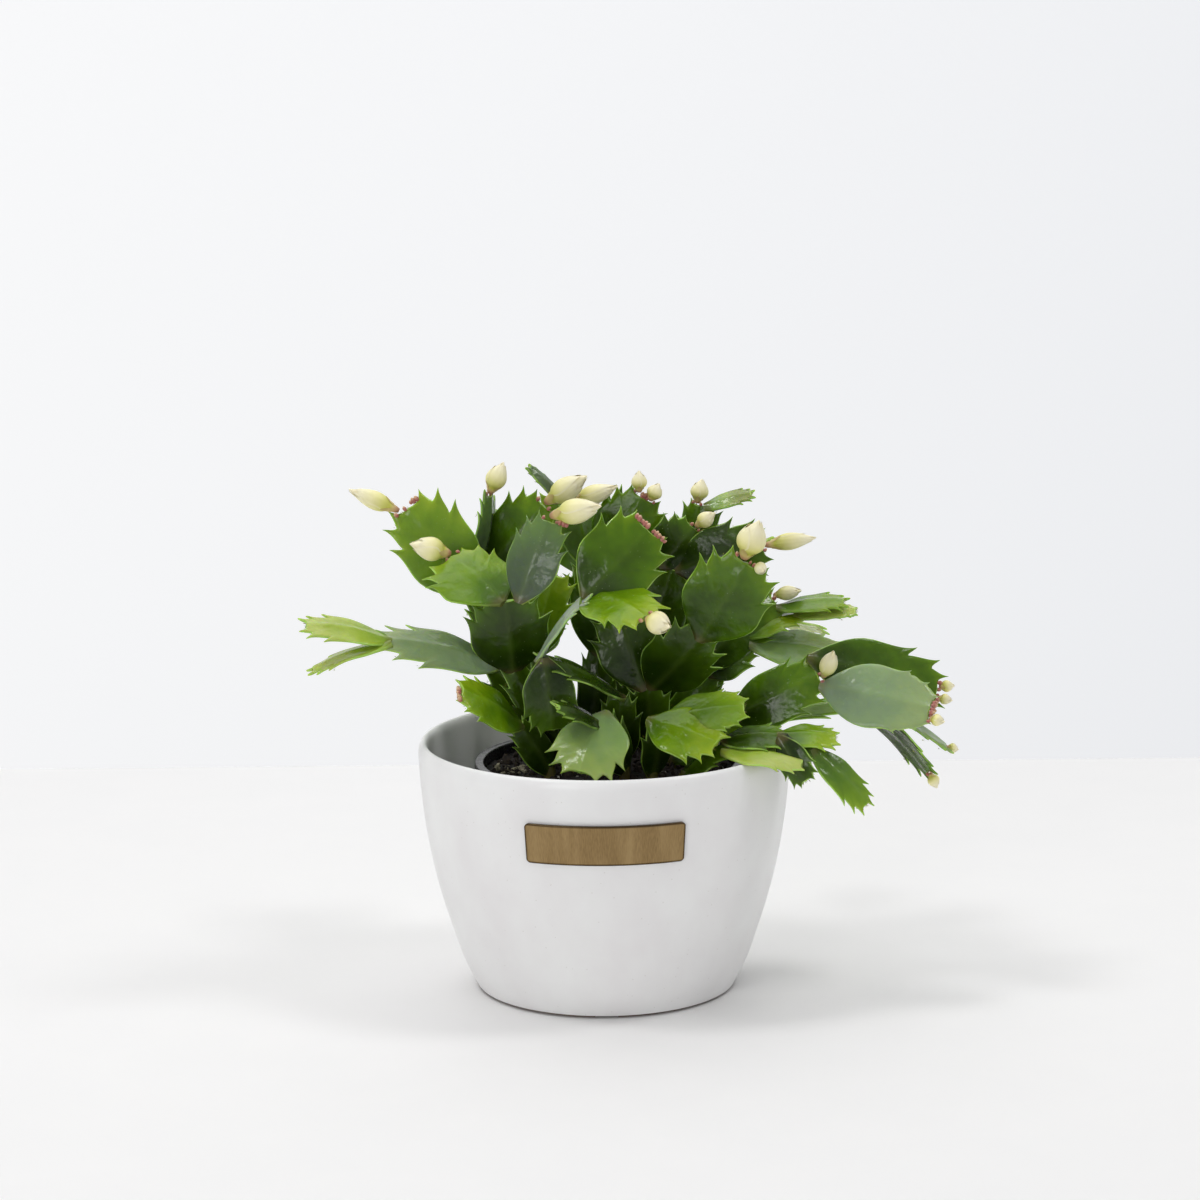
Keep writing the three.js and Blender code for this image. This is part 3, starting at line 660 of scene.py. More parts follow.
def waxy_stem(edge_and_painted_backlight_colour):
    """A christmas cactus's flattened stem: green flesh under a thin waxy skin, which gives soft bright
    reflections, with pale thin edges that are partly painted backlight, a grey bloom that is partly painted
    sheen, a woody midrib low down, and fine pale stomata."""
    material, shader, tree, place, tone, bloom, rib, blush, inset, wood = new_material(
        "waxy_stem", "tone", "bloom", "rib", "blush", "inset", "wood")
    patches = add_node(tree, "TexNoise", {"Vector": place, "Scale": 1 / 14, "Detail": 2, "Roughness": ROUGH})
    patch = add_node(tree, "MapRange", (patches, 0.3, 0.7, -0.1, 0.1))
    age = add_node(tree, "Math", (tone, patch), ADD)
    flesh = add_node(tree, "ValToRGB", (age,), stops=[
        (0, "#1d3004"), (0.2, "#334d05"), (0.42, "#4f7306"), (0.62, "#71940b"), (0.82, "#98b122"),
        (1, "#b6c55a")])
    # Painted sheen: the grey-green mixed in here is partly a waxy bloom and partly a painted silvery
    # reflection of the studio on the upper faces
    bloom_and_painted_sheen_share = add_node(tree, "MapRange", (bloom, 0, 1, 0, 0.9))
    frosted = add_node(tree, "Mix", {SHARE: bloom_and_painted_sheen_share, LOW: flesh, HIGH: "#98a896"}, COLOURS, MIXED)
    ridge = add_node(tree, "MapRange", (rib, 0.25, 1, 0, 0.09))
    ribbed = add_node(tree, "Mix", {SHARE: ridge, LOW: frosted, HIGH: "#93ad4a"}, COLOURS, MIXED)
    # Stomata and dust, 0.2 mm, drawn 0.35 mm wide so that they show, and only in places
    dots = add_node(tree, "TexVoronoi", {"Vector": place, "Scale": 1 / 1.7})
    dot = add_node(tree, "MapRange", (dots, 0.07, 0.16, 1, 0))
    drifts = add_node(tree, "TexNoise", {"Vector": place, "Scale": 1 / 11, "Detail": 2, "Roughness": ROUGH})
    dusty = add_node(tree, "MapRange", (drifts, 0.5, 0.68, 0, 0.3))
    dotting = add_node(tree, "Math", (dot, dusty), MULTIPLY)
    dotted = add_node(tree, "Mix", {SHARE: dotting, LOW: ribbed, HIGH: "#b4c49a"}, COLOURS, MIXED)
    blushed = add_node(tree, "Mix", {SHARE: blush, LOW: dotted, HIGH: "#4c2528"}, COLOURS, MIXED)
    # The margin is a pale line, about 0.4 mm wide and broken in places: partly the thin cartilage edge's own
    # colour, partly painted backlight shining through it
    margin = add_node(tree, "MapRange", (inset, 0.25, 0.6, 1, 0))
    breaks = add_node(tree, "TexNoise", {"Vector": place, "Scale": 1 / 9, "Detail": 1, "Roughness": ROUGH})
    clear = add_node(tree, "MapRange", (breaks, 0.38, 0.62, 0.25, 0.9))
    line = add_node(tree, "Math", (margin, clear), MULTIPLY)
    edged_with_painted_backlight = add_node(tree, "Mix", {SHARE: line, LOW: blushed, HIGH: edge_and_painted_backlight_colour}, COLOURS, MIXED)
    wax = add_node(tree, "TexNoise", {"Vector": place, "Scale": 1 / 5, "Detail": 3, "Roughness": ROUGH})
    # Cells of the skin 1.1 mm across, and puckers of the flesh 6.5 mm across
    cells = add_node(tree, "TexNoise", {"Vector": place, "Scale": 1 / 1.1, "Detail": 2, "Roughness": ROUGH})
    skin = add_node(tree, "Bump", {"Height": cells, "Distance": 0.12 * MM, "Strength": 0.4})
    puckers = add_node(tree, "TexNoise", {"Vector": place, "Scale": 1 / 6.5, "Detail": 2, "Roughness": ROUGH})
    feed(shader, {
        "Base Color": add_node(tree, "Mix", {SHARE: wood, LOW: edged_with_painted_backlight, HIGH: "#6d5c3c"}, COLOURS, MIXED),
        "Roughness": add_node(tree, "MapRange", (wax, 0.3, 0.7, 0.14, 0.27)),
        "IOR": 1.4,
        "Specular IOR Level": 0.42,
        "Subsurface Weight": 0.4,
        "Subsurface Radius": (0.55, 1.0, 0.08),
        "Subsurface Scale": 2 * MM,
        "Normal": add_node(tree, "Bump", {
            "Height": puckers, "Distance": 1.1 * MM, "Strength": 0.58, "Normal": skin})})
    return material


def petal_skin(cream, blush):
    """A bud's closed petals: thin satin cream tissue, faintly veined along its length, yellow-green low
    down, cream at the tip, and pink-brown at the joint."""
    material, shader, tree, place, along, petal_edge, vein = new_material(
        "petal_skin", "along", "petal_edge", "vein")
    body = add_node(tree, "ValToRGB", (along,), stops=[
        (0, "#8a5f48"), (0.06, blush), (0.12, "#c9b375"), (0.2, "#c4c64a"), (0.34, "#e0dc80"),
        (0.52, "#f6eeb0"), (0.78, cream), (1, "#faf0cc")])
    mottles = add_node(tree, "TexNoise", {"Vector": place, "Scale": 1 / 2.2, "Detail": 3, "Roughness": ROUGH})
    mottle = add_node(tree, "MapRange", (mottles, 0.35, 0.7, 0, 0.14))
    mottled = add_node(tree, "Mix", {SHARE: mottle, LOW: body, HIGH: "#e2dc94"}, COLOURS, MIXED)
    edge = add_node(tree, "MapRange", (petal_edge, 0.6, 1, 0, 0.6))
    veins = add_node(tree, "Bump", {"Height": vein, "Distance": 0.12 * MM, "Strength": 0.5})
    cells = add_node(tree, "TexNoise", {"Vector": place, "Scale": 1 / 0.9, "Detail": 2, "Roughness": ROUGH})
    feed(shader, {
        "Base Color": add_node(tree, "Mix", {SHARE: edge, LOW: mottled, HIGH: "#fbf4d8"}, COLOURS, MIXED),
        "Roughness": 0.42,
        "IOR": 1.42,
        "Subsurface Weight": 0.1,
        "Subsurface Radius": (1.0, 0.9, 0.6),
        "Subsurface Scale": 0.4 * MM,
        "Normal": add_node(tree, "Bump", {
            "Height": cells, "Distance": 0.08 * MM, "Strength": 0.4, "Normal": veins})})
    return material


def bead_skin(colour):
    """The first tiny buds: pink-brown flesh, glossy, with a paler tip."""
    material, shader, tree, place, along = new_material("bead_skin", "along")
    mottles = add_node(tree, "TexNoise", {"Vector": place, "Scale": 1, "Detail": 3, "Roughness": ROUGH})
    mottle = add_node(tree, "MapRange", (mottles, 0.3, 0.7, 0, 0.5))
    body = add_node(tree, "Mix", {SHARE: mottle, LOW: colour, HIGH: "#8f5448"}, COLOURS, MIXED)
    tip = add_node(tree, "MapRange", (along, 0.5, 1, 0, 0.75))
    cells = add_node(tree, "TexNoise", {"Vector": place, "Scale": 1 / 0.6, "Detail": 2, "Roughness": ROUGH})
    feed(shader, {
        "Base Color": add_node(tree, "Mix", {SHARE: tip, LOW: body, HIGH: "#e3cf9a"}, COLOURS, MIXED),
        "Roughness": 0.38,
        "Subsurface Weight": 0.25,
        "Subsurface Radius": (1.0, 0.5, 0.4),
        "Subsurface Scale": 1 * MM,
        "Normal": add_node(tree, "Bump", {"Height": cells, "Distance": 0.06 * MM, "Strength": 0.5})})
    return material


def painted_board(colour):
    """Matt painted board, rolled: plain and pale, with a barely visible grain."""
    material, shader, tree, place = new_material("painted_board")
    rolled = add_node(tree, "TexNoise", {"Vector": place, "Scale": 1 / 40, "Detail": 3, "Roughness": ROUGH})
    grain = add_node(tree, "MapRange", (rolled, 0.3, 0.7, 0, 0.06))
    feed(shader, {
        "Base Color": add_node(tree, "Mix", {SHARE: grain, LOW: colour, HIGH: "#d8dadd"}, COLOURS, MIXED),
        "Roughness": 0.75})
    return material


def backlit_acrylic(colour, glow):
    """White sheet that glows with painted light, a little stronger on its left, where the glow stands in for
    more light falling on the wall.
    """
    material, shader, tree, place = new_material("backlit_acrylic")
    # Painted light: the glow is white on the left and fades to a cooler grey on the right, where less light
    # falls
    across = add_node(tree, "SeparateXYZ", (place,), output="X")
    right = add_node(tree, "MapRange", (across, -600, 600, 0, 1))
    light = add_node(tree, "Mix", {SHARE: right, LOW: "#ffffff", HIGH: "#f1f2f4"}, COLOURS, MIXED)
    feed(shader, {"Base Color": colour, "Roughness": 0.7, "Emission Color": light, "Emission Strength": glow})
    return material


# Pots, plaque and potting mix

def build_cachepot(settings):
    wall = smooth_outline(POT_OUTLINE[1:], POT_STEPS["wall"])
    rim_start, rim_radius = POT_OUTLINE[-1]
    foot_radius = POT_OUTLINE[0][1]
    lip, half = POT_HEIGHT - rim_start, POT_WALL / 2
    lip_points = [(rim_start + lip * math.sin(t), rim_radius - half + half * math.cos(t))
                  for t in np.linspace(0, math.pi, POT_STEPS["lip"])[1:-1]]
    inner = [(z, r - POT_WALL) for z, r in wall[::-1] if z > POT_FLOOR + POT_FILLET]
    corner = inner[-1][1]
    fillet = [(POT_FLOOR + POT_FILLET * (1 - math.sin(t)), corner - POT_FILLET * (1 - math.cos(t)))
              for t in np.linspace(0.2, math.pi / 2, POT_STEPS["fillet"])]
    underside = [(height, foot_radius - inset) for height, inset in POT_UNDERSIDE]
    shell = Shell()
    shell.add(*turned([(0, 0), *underside, *wall, *lip_points, *inner, *fillet, (POT_FLOOR, 0)],
                      settings.sides))
    pot = shell.make("cachepot_glazed", glazed_stoneware(settings.glaze))
    angles = [2 * math.pi * index / NOTCH["count"] - math.pi / 2 for index in range(NOTCH["count"])]
    cut(pot, [notch_cutter(foot_radius, angle) for angle in angles])
    dress(pot, "white_glaze", "cachepot")


def notch_cutter(foot_radius, angle):
    """A soft-edged block across the foot's edge."""
    block = bmesh.new()
    bmesh.ops.create_cube(block, size=1)
    size = (2 * NOTCH["depth"], NOTCH["width"], 2 * NOTCH["height"])
    bmesh.ops.scale(block, vec=size, verts=block.verts)
    bmesh.ops.bevel(block, geom=block.edges[:], offset=NOTCH["soft"], segments=2, affect="EDGES")
    bmesh.ops.translate(block, vec=(foot_radius, 0, 0), verts=block.verts)
    bmesh.ops.rotate(block, matrix=Matrix.Rotation(angle, 3, "Z"), verts=block.verts)
    bmesh.ops.scale(block, vec=(MM, MM, MM), verts=block.verts)
    mesh = bpy.data.meshes.new("notch")
    block.to_mesh(mesh)
    block.free()
    return add_object("notch", mesh)


def pot_radius(z):
    heights, radii = np.array(POT_OUTLINE, float).T
    return np.interp(z, heights, radii)


def crowded(size, margin, count):
    """Places across a size, crowded by its borders, with a count of even steps between its margins."""
    half = size / 2
    return np.concatenate([BORDER_STEPS - half, np.linspace(margin - half, half - margin, count),
                           half - BORDER_STEPS[::-1]])


def build_plaque(settings):
    """A plate with soft edges and round corners, bent round the wall."""
    width, height, corner = PLAQUE["width"], PLAQUE["height"], PLAQUE["corner"]
    columns = crowded(width, 3.5, 56)
    shares = crowded(height, 3, 12) / (height / 2)
    # The half height at each column, less at the round corners
    inset = np.clip(np.abs(columns) - (width / 2 - corner), 0, corner)
    reach = height / 2 - corner + np.sqrt(np.maximum(corner ** 2 - inset ** 2, 0))
    across, up = np.meshgrid(columns, shares, indexing="xy")
    rise = up * reach
    border = np.minimum(width / 2 - np.abs(across), reach - np.abs(rise))
    # How far the front falls back at the border, on the quarter circle of the soft edge
    soft = settings.edge / MM
    round_off = soft - np.sqrt(np.maximum(soft ** 2 - np.maximum(soft - border, 0) ** 2, 0))
    z = PLAQUE["centre"] + rise
    angle = across / pot_radius(PLAQUE["centre"])
    back = pot_radius(z) + PLAQUE["clearance"]
    front = back + PLAQUE["thickness"] - round_off
    layers = [np.stack([radius * np.sin(angle), -radius * np.cos(angle), z], -1) for radius in (front, back)]
    tarnish = np.exp(-((border - TARNISH["middle"]) / TARNISH["reach"]) ** 2)
    shell = Shell()
    shell.add(layers, sheet_faces(*across.shape), border=[tarnish, tarnish])
    dress(shell.make("plaque_brushed", antique_brass(settings.brass)), "antique_brass", "plaque")


def build_nursery_pot(settings):
    base, wall, top, edge = NURSERY["foot"], NURSERY["wall"], NURSERY["top"], NURSERY["edge"]
    floor, base_radius, rim_radius = base + wall, NURSERY["base"] - wall, NURSERY["rim"]
    shoulder, shoulder_radius = top - NURSERY["drop"], NURSERY["top_radius"]
    quarter = np.linspace(0, math.pi / 2, 5)
    foot = [(base + wall * (1 - math.cos(t)), base_radius + wall * math.sin(t)) for t in quarter]
    fold = [(shoulder + rise, rim_radius - inset) for rise, inset in RIM_FOLD]
    rim = [(top - edge + edge * math.sin(t), rim_radius - edge + edge * math.cos(t)) for t in quarter]
    inner_rim = [(top - edge + edge * math.cos(t), shoulder_radius - wall + edge * (1 - math.sin(t)))
                 for t in quarter]
    inside = [(shoulder, shoulder_radius - wall), (floor + 1, base_radius + 0.02), (floor, base_radius - 1)]
    profile = [(base, 0), *foot, (shoulder, shoulder_radius), *fold, *rim, *inner_rim, *inside, (floor, 0)]
    material = moulded_polypropylene()
    shell = Shell()
    shell.add(*turned(profile, settings.sides, (NURSERY_X, 0)))
    pot = shell.make("nursery_pot_moulded", material)
    low, high, radius = base - 2, base + 3, DRAIN["radius"]
    cutters = []
    for index in range(DRAIN["count"]):
        angle = 2 * math.pi * index / DRAIN["count"]
        centre = (NURSERY_X + DRAIN["ring"] * math.cos(angle), DRAIN["ring"] * math.sin(angle))
        hole = Shell()
        hole.add(*turned([(low, 0), (low, radius), (high, radius), (high, 0)], DRAIN["sides"], centre))
        cutters.append(hole.make("drain", material))
    cut(pot, cutters)
    dress(pot, "black_plastic", "nursery_pot")


def soil_height(x, y):
    lumps = (height * wobble((x, y, 0), size, seed) for height, size, seed in SOIL_LUMPS)
    return sum(lumps, SOIL_LEVEL - 0.4)


def build_soil(settings):
    bottom, base_radius = NURSERY["foot"] + 1.5, NURSERY["base"] - NURSERY["wall"] - 0.3
    side = [(bottom, base_radius), (NURSERY["top"] - NURSERY["drop"], SOIL_RADIUS),
            (SOIL_LEVEL - 1.2, SOIL_RADIUS)]
    top = [(SOIL_LEVEL, radius) for radius in np.linspace(SOIL_RADIUS, 1.2, settings.rings)]
    points, faces = turned([(bottom, 0), *side, *top, (SOIL_LEVEL, 0)], SOIL_SIDES, (NURSERY_X, 0))
    for point in points:
        if point[2] == SOIL_LEVEL:
            point[2] = soil_height(point[0], point[1])
    shell = Shell()
    shell.add(points, faces)
    dress(shell.make("potting_mix", peat_mix("peat", "#080706", "#221b16")), "potting_mix", "soil")
    scatter("bark_crumbs", settings.crumbs, (0.8, 2.3), peat_mix("bark", "#15100c", "#3c2f23"), 11)
    scatter("light_grit", settings.grit, (0.5, 1.3), peat_mix("pumice", "#8d8a82", "#d9d5c8"), 29)
    scatter("pale_chips", settings.chips, (0.7, 1.9), peat_mix("pine_chips", "#625b46", "#cdc6aa"), 47,
            middle=(-37, 1), reach=7)


def scatter(name, count, sizes, material, seed, middle=(NURSERY_X, 0), reach=SOIL_RADIUS - 2.5):
    """Broken crumbs that lie half sunk on top of the potting mix, within reach of a middle."""
    dice = np.random.default_rng(seed)
    ball = bmesh.new()
    bmesh.ops.create_icosphere(ball, subdivisions=1, radius=1)
    corners = np.array([vertex.co[:] for vertex in ball.verts])
    faces = [[vertex.index for vertex in face.verts] for face in ball.faces]
    ball.free()
    shell = Shell()
    for _ in range(count):
        radius = reach * math.sqrt(dice.random())
        angle = 2 * math.pi * dice.random()
        x, y = middle[0] + radius * math.cos(angle), middle[1] + radius * math.sin(angle)
        size = dice.uniform(*sizes)
        stretch = size * np.array([dice.uniform(0.7, 1.5), dice.uniform(0.5, 1), dice.uniform(0.35, 0.7)])
        rough = corners * (1 + dice.uniform(-0.28, 0.28, (len(corners), 1)))
        turn = np.array(Euler(dice.uniform(0, 3, 3)).to_matrix())
        shell.add((rough * stretch) @ turn.T + np.array([x, y, soil_height(x, y) + 0.25 * size]), faces)
    dress(shell.make(name, material, sharp=25), "potting_mix")


# Stems

def segment_frame(piece):
    """The ways along the midrib, out of the flat side and across, and the length."""
    along = unit(piece["to"])
    out = np.asarray(piece["face"], float)
    out = unit(out - along * out.dot(along))
    return {"along": along, "out": out, "across": np.cross(along, out), "length": np.linalg.norm(piece["to"])}


def half_outline(number, side, neck, toothing):
    """One half's outline from the neck to the middle of the apex, as places along the length and across
    in shares of length and half width, each with the place on the midrib that its row starts from."""
    def shift(place, reach):
        return (draw(number, place + 10 * side) - 0.5) * 2 * reach

    def between(smooth, clawed):
        return tuple(a + (b - a) * toothing for a, b in zip(smooth, clawed))

    first, second = shift(1, 0.035), shift(2, 0.02)
    wide = (0.42, 1.0)
    tip = between((0.7, 0.95), (0.77 + first, 1.14 + shift(3, 0.05)))
    notch = between((0.74, 0.91), (0.7 + first, 0.8))
    high_tip = between((0.88, 0.75), (0.97 + second, 0.92 + shift(4, 0.05)))
    high_notch = between((0.91, 0.69), (0.9 + second, 0.6))
    horn = between((1.0, 0.42), (1.07, 0.51))
    corner = (APEX, 0.3)
    middle = (APEX - 0.005, 0)
    # Each run: its number of steps, its curve's four points, and where its last row starts on the midrib
    runs = [
        (9, neck, (neck[0] + 0.06, neck[1] + 0.12), (0.2, 1.0), wide, 0.2),
        (10, wide, (0.55, 1.0), (tip[0] - 0.1, tip[1] - 0.2), tip, 0.37),
        (5, tip, (tip[0] - 0.03, tip[1] - 0.16), (notch[0] + 0.004, notch[1] + 0.09), notch, 0.41),
        (6, notch, (notch[0] + 0.08, notch[1] + 0.06), (high_tip[0] - 0.09, high_tip[1] - 0.17),
         high_tip, 0.57),
        (5, high_tip, (high_tip[0] - 0.03, high_tip[1] - 0.14), (high_notch[0] - 0.008, high_notch[1] + 0.1),
         high_notch, 0.61),
        (5, high_notch, (high_notch[0] + 0.04, high_notch[1] - 0.04), (horn[0] - 0.05, horn[1] - 0.035),
         horn, 0.7),
        (4, horn, (horn[0] - 0.04, horn[1] - 0.075), (APEX + 0.012, 0.37), corner, 0.85),
        (3, corner, (APEX - 0.01, 0.2), (APEX - 0.012, 0.1), middle, APEX - 0.005),
    ]
    places, ribs, rib = [], [], neck[0]
    for steps, *points, rib_end in runs:
        places.append(bezier(points, steps))
        ribs.append(np.linspace(rib, rib_end, steps, endpoint=False))
        rib = rib_end
    return np.concatenate([*places, [middle]]), np.concatenate([*ribs, [rib]])


def blade_grid(piece, number, neck):
    """Places along and across a blade, in shares of its length and half width, row by row from one side's
    outline over the midrib to the other's."""
    u_halves, v_halves = [], []
    for side in (1, 0):
        outline, ribs = half_outline(number, side, neck, piece["toothing"])
        u = ribs[:, None] + COLUMNS * (outline[:, :1] - ribs[:, None])
        v = COLUMNS * outline[:, 1:]
        u_halves.append(u[:, ::-1] if side else u[:, 1:])
        v_halves.append(-v[:, ::-1] if side else v[:, 1:])
    return np.concatenate(u_halves, 1), np.concatenate(v_halves, 1)


def add_segment(shell, start, piece, number, settings):
    """A blade with round edges: rows run from the midrib out and forward to the outline, on both faces."""
    axes = segment_frame(piece)
    length, half = axes["length"], piece["width"] / 2
    u, v = blade_grid(piece, number, (-NECK["sunk"] / length, NECK["half"] / half))
    share = np.concatenate([COLUMNS[::-1], COLUMNS[1:]]) * np.ones_like(u)
    t = np.clip(u, 0, 1)
    # The blade's middle bows out along the midrib, folds back on both sides of it, twists and ripples
    bow = piece["arch"] * length * 4 * t * (1 - t)
    fold = FOLD * half * (np.sqrt(v ** 2 + 0.01) - 0.1) * (0.5 + 0.5 * t)
    twist = TWIST * (draw(number, 5) - 0.5) * half * v * t
    waves = np.sin(2 * math.pi * (RIPPLES * u + draw(number, 6)) + 2.5 * np.sign(v))
    ripple = settings.ripple / MM * half / 14 * waves * share ** 2 * smoothstep(0.1, 0.4, u)
    middle = bow - fold + twist + ripple
    # Its thickness goes from a round neck to a blade with a raised midrib and round edges
    rib = np.exp(-(v * half / RIB_REACH) ** 2)
    blade = BODY_HALF + (RIB_HALF - BODY_HALF) * rib * (1 - 0.35 * t)
    rounded = np.sqrt(np.clip(1 - (np.clip(share - 1 + ROUND_EDGE, 0, 1) / ROUND_EDGE) ** 2, 0, 1))
    stalk = NECK["thick"] * np.sqrt(np.clip(1 - share ** 2, 0, 1))
    grown = smoothstep(-0.02, 0.12, u)
    thickness = stalk * (1 - grown) + blade * rounded * grown
    place = start + u[..., None] * length * axes["along"] + v[..., None] * half * axes["across"]
    layers = [place + offset[..., None] * axes["out"] for offset in (middle + thickness, middle - thickness)]
    rows, count = u.shape
    faces = [face[::-1] for face in grid_faces(rows, count)]
    behind = rows * count
    faces += [[behind + corner for corner in face[::-1]] for face in faces]
    faces += [[column, column + 1, behind + column + 1, behind + column] for column in range(count - 1)]
    tone, bloom, blush = TINTS[piece["tint"]]
    # The length of each point's row, from the midrib to the margin
    reach = np.hypot((u - u[:, count // 2, None]) * length, v * half) / np.maximum(share, 0.05)
    # Tone grows paler towards the tip and the margin and darker at the joint: partly the young growth's own
    # colour, partly painted shade low on the segment and painted light through its thin margin
    values = {
        "tone": tone + 0.34 * (t - 0.5) + 0.06 * (draw(number, 7) - 0.5) + 0.13 * (share ** 3 - 0.2),
        "bloom": bloom * (0.75 + 0.5 * draw(number, 8)) * np.ones_like(u),
        "blush": blush * (0.4 + 0.6 * smoothstep(0.8, 1, share)) * smoothstep(0.3, 0.7, u),
        "inset": np.where(share < 0.05, FAR_IN, (1 - share) * reach),
        "rib": rib * (1 - 0.6 * t),
        "wood": 0.45 * (1 - smoothstep(-0.05, 0.05, u)),
    }
    shell.add(layers, faces, **{name: [value, value] for name, value in values.items()})
    add_areoles(shell, start, axes, half, number, settings)


def add_areoles(shell, start, axes, half, number, settings):
    """Short tan bristles in the notches and along the cut-off apex."""
    for place, (u, v, count) in enumerate(AREOLES):
        base = start + axes["along"] * u * axes["length"] + axes["across"] * v * half
        base = base + axes["out"] * (-FOLD * half * abs(v) * (0.5 + 0.5 * u))
        for index in range(count):
            lean = draw(number + index, 20 + place) - 0.5
            tilt = draw(number + index, 40 + place) - 0.5
            way = unit(axes["along"] + axes["across"] * (0.8 * lean + 0.5 * np.sign(v)) + axes["out"] * tilt)
            side = unit(np.cross(way, axes["out"] + 0.3 * axes["across"]))
            other = np.cross(way, side)
            root = base + side * lean * 1.2 + other * tilt * 0.7
            size = settings.bristle / MM * (0.7 + 0.6 * draw(number, 60 + place + index))
            corners = [root + BRISTLE_RADIUS * (side * math.cos(a) + other * math.sin(a))
                       for a in (0, 2.09, 4.19)]
            shell.add([*corners, root + way * size], [[0, 1, 3], [1, 2, 3], [2, 0, 3], [2, 1, 0]],
                      tone=0.5, bloom=0, blush=0, inset=FAR_IN, rib=0, wood=0.9)


def add_foot(shell, foot, number):
    """The woody neck between the potting mix and the first segment."""
    low, high = SOIL_LEVEL - FOOT["depth"], SOIL_LEVEL + FOOT["rise"] + FOOT["reach"]
    levels = np.linspace(low, high, 12)
    radii = FOOT["radius"] - FOOT["taper"] * ((levels - low) / (high - low)) ** 3
    points, faces = turned([(low, 0), *zip(levels, radii), (high, 0)], FOOT["sides"], foot)
    for point in points:
        outward = point[:2] - np.array(foot)
        point[:2] += 0.06 * outward * wobble(point, 1.6, number)
    height = (points[:, 2] - low) / (high - low)
    shell.add(points, faces, tone=0.2, bloom=0, blush=0, inset=FAR_IN, rib=0, wood=0.95 - 0.5 * height ** 2)


def grow(piece, base, carrier, placed):
    """Lists a piece and all that it carries with their places, in the order in which they are numbered."""
    start = base + carrier["across"] * piece["offset"]
    if piece["kind"] != "segment":
        placed.append({"piece": piece, "start": start, "axes": carrier, "base": base})
        return
    axes = segment_frame(piece)
    placed.append({"piece": piece, "start": start, "axes": axes})
    for child in piece["grown"]:
        share = 1 if child["kind"] == "segment" else APEX
        grow(child, start + np.array(piece["to"], float) * share, axes, placed)


def placed_plant():
    """Every piece of every stem with its place, after its stem's name and foot. Segments are numbered."""
    plant = {}
    number = 0
    for name, (foot, first) in STEMS.items():
        placed = []
        base = np.array([*foot, SOIL_LEVEL + FOOT["rise"]], float)
        grow(first, base, {"across": np.array([1.0, 0, 0])}, placed)
        for item in placed:
            if item["piece"]["kind"] == "segment":
                number += 1
                item["number"] = number
        plant[name] = (foot, placed)
    return plant


def build_stems(settings):
    material = waxy_stem(settings.edge)
    for name, (foot, placed) in placed_plant().items():
        shell = Shell()
        segments = [item for item in placed if item["piece"]["kind"] == "segment"]
        add_foot(shell, foot, segments[0]["number"])
        for item in segments:
            add_segment(shell, item["start"], item["piece"], item["number"], settings)
        piece = shell.make(f"{name}_leafy", material, weld=JOIN, sharp=60)
        dress(piece, "cactus_green", name)


# Buds

BUD_CURVE = smooth_outline(BUD_OUTLINE, 60)


def bud_radius(share):
    shares, radii = BUD_CURVE.T
    return np.interp(share, shares, radii)


def turn_to(way):
    """The rotation that takes +Z to a way."""
    return np.array(Vector((0, 0, 1)).rotation_difference(Vector(way)).to_matrix())


def sheet_places(grid):
    """Places up a sheet's rows from 0 to 1, and across its columns from -1 to 1."""
    rows, columns = grid
    return np.meshgrid(np.linspace(0, 1, rows), np.linspace(-1, 1, columns), indexing="ij")


def add_bud(shell, start, way, length, width, seed, petals):
    """A pericarp and a closed body with overlapping pointed petals wrapped round it."""
    turn = turn_to(way)
    half = width / 2
    # The body is a little slimmer under the petals
    levels = np.concatenate([np.linspace(0, 0.3, 10, endpoint=False), np.linspace(0.3, 0.985, 16)])
    radii = bud_radius(levels) * half * np.where(levels > 0.24, 0.93, 1)
    points, faces = turned([(0, 0), *zip(levels * length, radii), (length * 0.995, 0)], 20)
    shell.add(points @ turn.T + start, faces, along=points[:, 2] / length, petal_edge=0, vein=0)
    for index in range(petals):
        add_petal(shell, start, turn, length, half, seed, index, petals)
    for index in range(3):
        add_scale(shell, start, turn, length, half, 2.1 * index + seed)


def add_wrapped(shell, start, turn, heights, angle, radii, **values):
    """A thin closed sheet wrapped round a bud's axis, with an outer and an inner radius at each point."""
    layers = np.array([[radius * np.cos(angle), radius * np.sin(angle), heights] for radius in radii])
    both = {name: np.broadcast_to(value, (2, *heights.shape)) for name, value in values.items()}
    shell.add(np.moveaxis(layers, 1, -1) @ turn.T + start, sheet_faces(*heights.shape), **both)


def add_petal(shell, start, turn, length, half, seed, index, petals):
    """One petal: a pointed sheet that hugs the body, over its neighbour on one side and under it on the
    other."""
    # Each pair of petals ends lower than the pair before
    low = 0.2 + 0.02 * (index % 2)
    high = 1.0 - 0.09 * (index // 2) - 0.03 * draw(seed, index)
    b, a = sheet_places(PETAL_GRID)
    share = low + (high - low) * b
    reach = (1.15 + 0.25 * draw(seed, 10 + index)) * (1 - b ** 2.6) ** 0.75 * smoothstep(-0.35, 0.3, b)
    angle = 2 * math.pi * index / petals * 1.02 + seed + a * reach + 0.35 * b
    # One edge lies higher than the other, and every second petal higher than its neighbours
    lift = half * (0.03 + 0.055 * (a + 1) / 2 + 0.03 * (index % 2)) * smoothstep(0, 0.12, b)
    inner = bud_radius(share) * half * 0.95 + lift + 0.05 * half * smoothstep(0.8, 1, b)
    outer = inner + 0.14 * (1 - np.abs(a) ** 4) * (1 - b ** 6)
    add_wrapped(shell, start, turn, share * length, angle, (outer, inner), along=share,
                petal_edge=np.maximum(np.abs(a) ** 3, b ** 5), vein=0.5 + 0.5 * np.cos(a * 14))


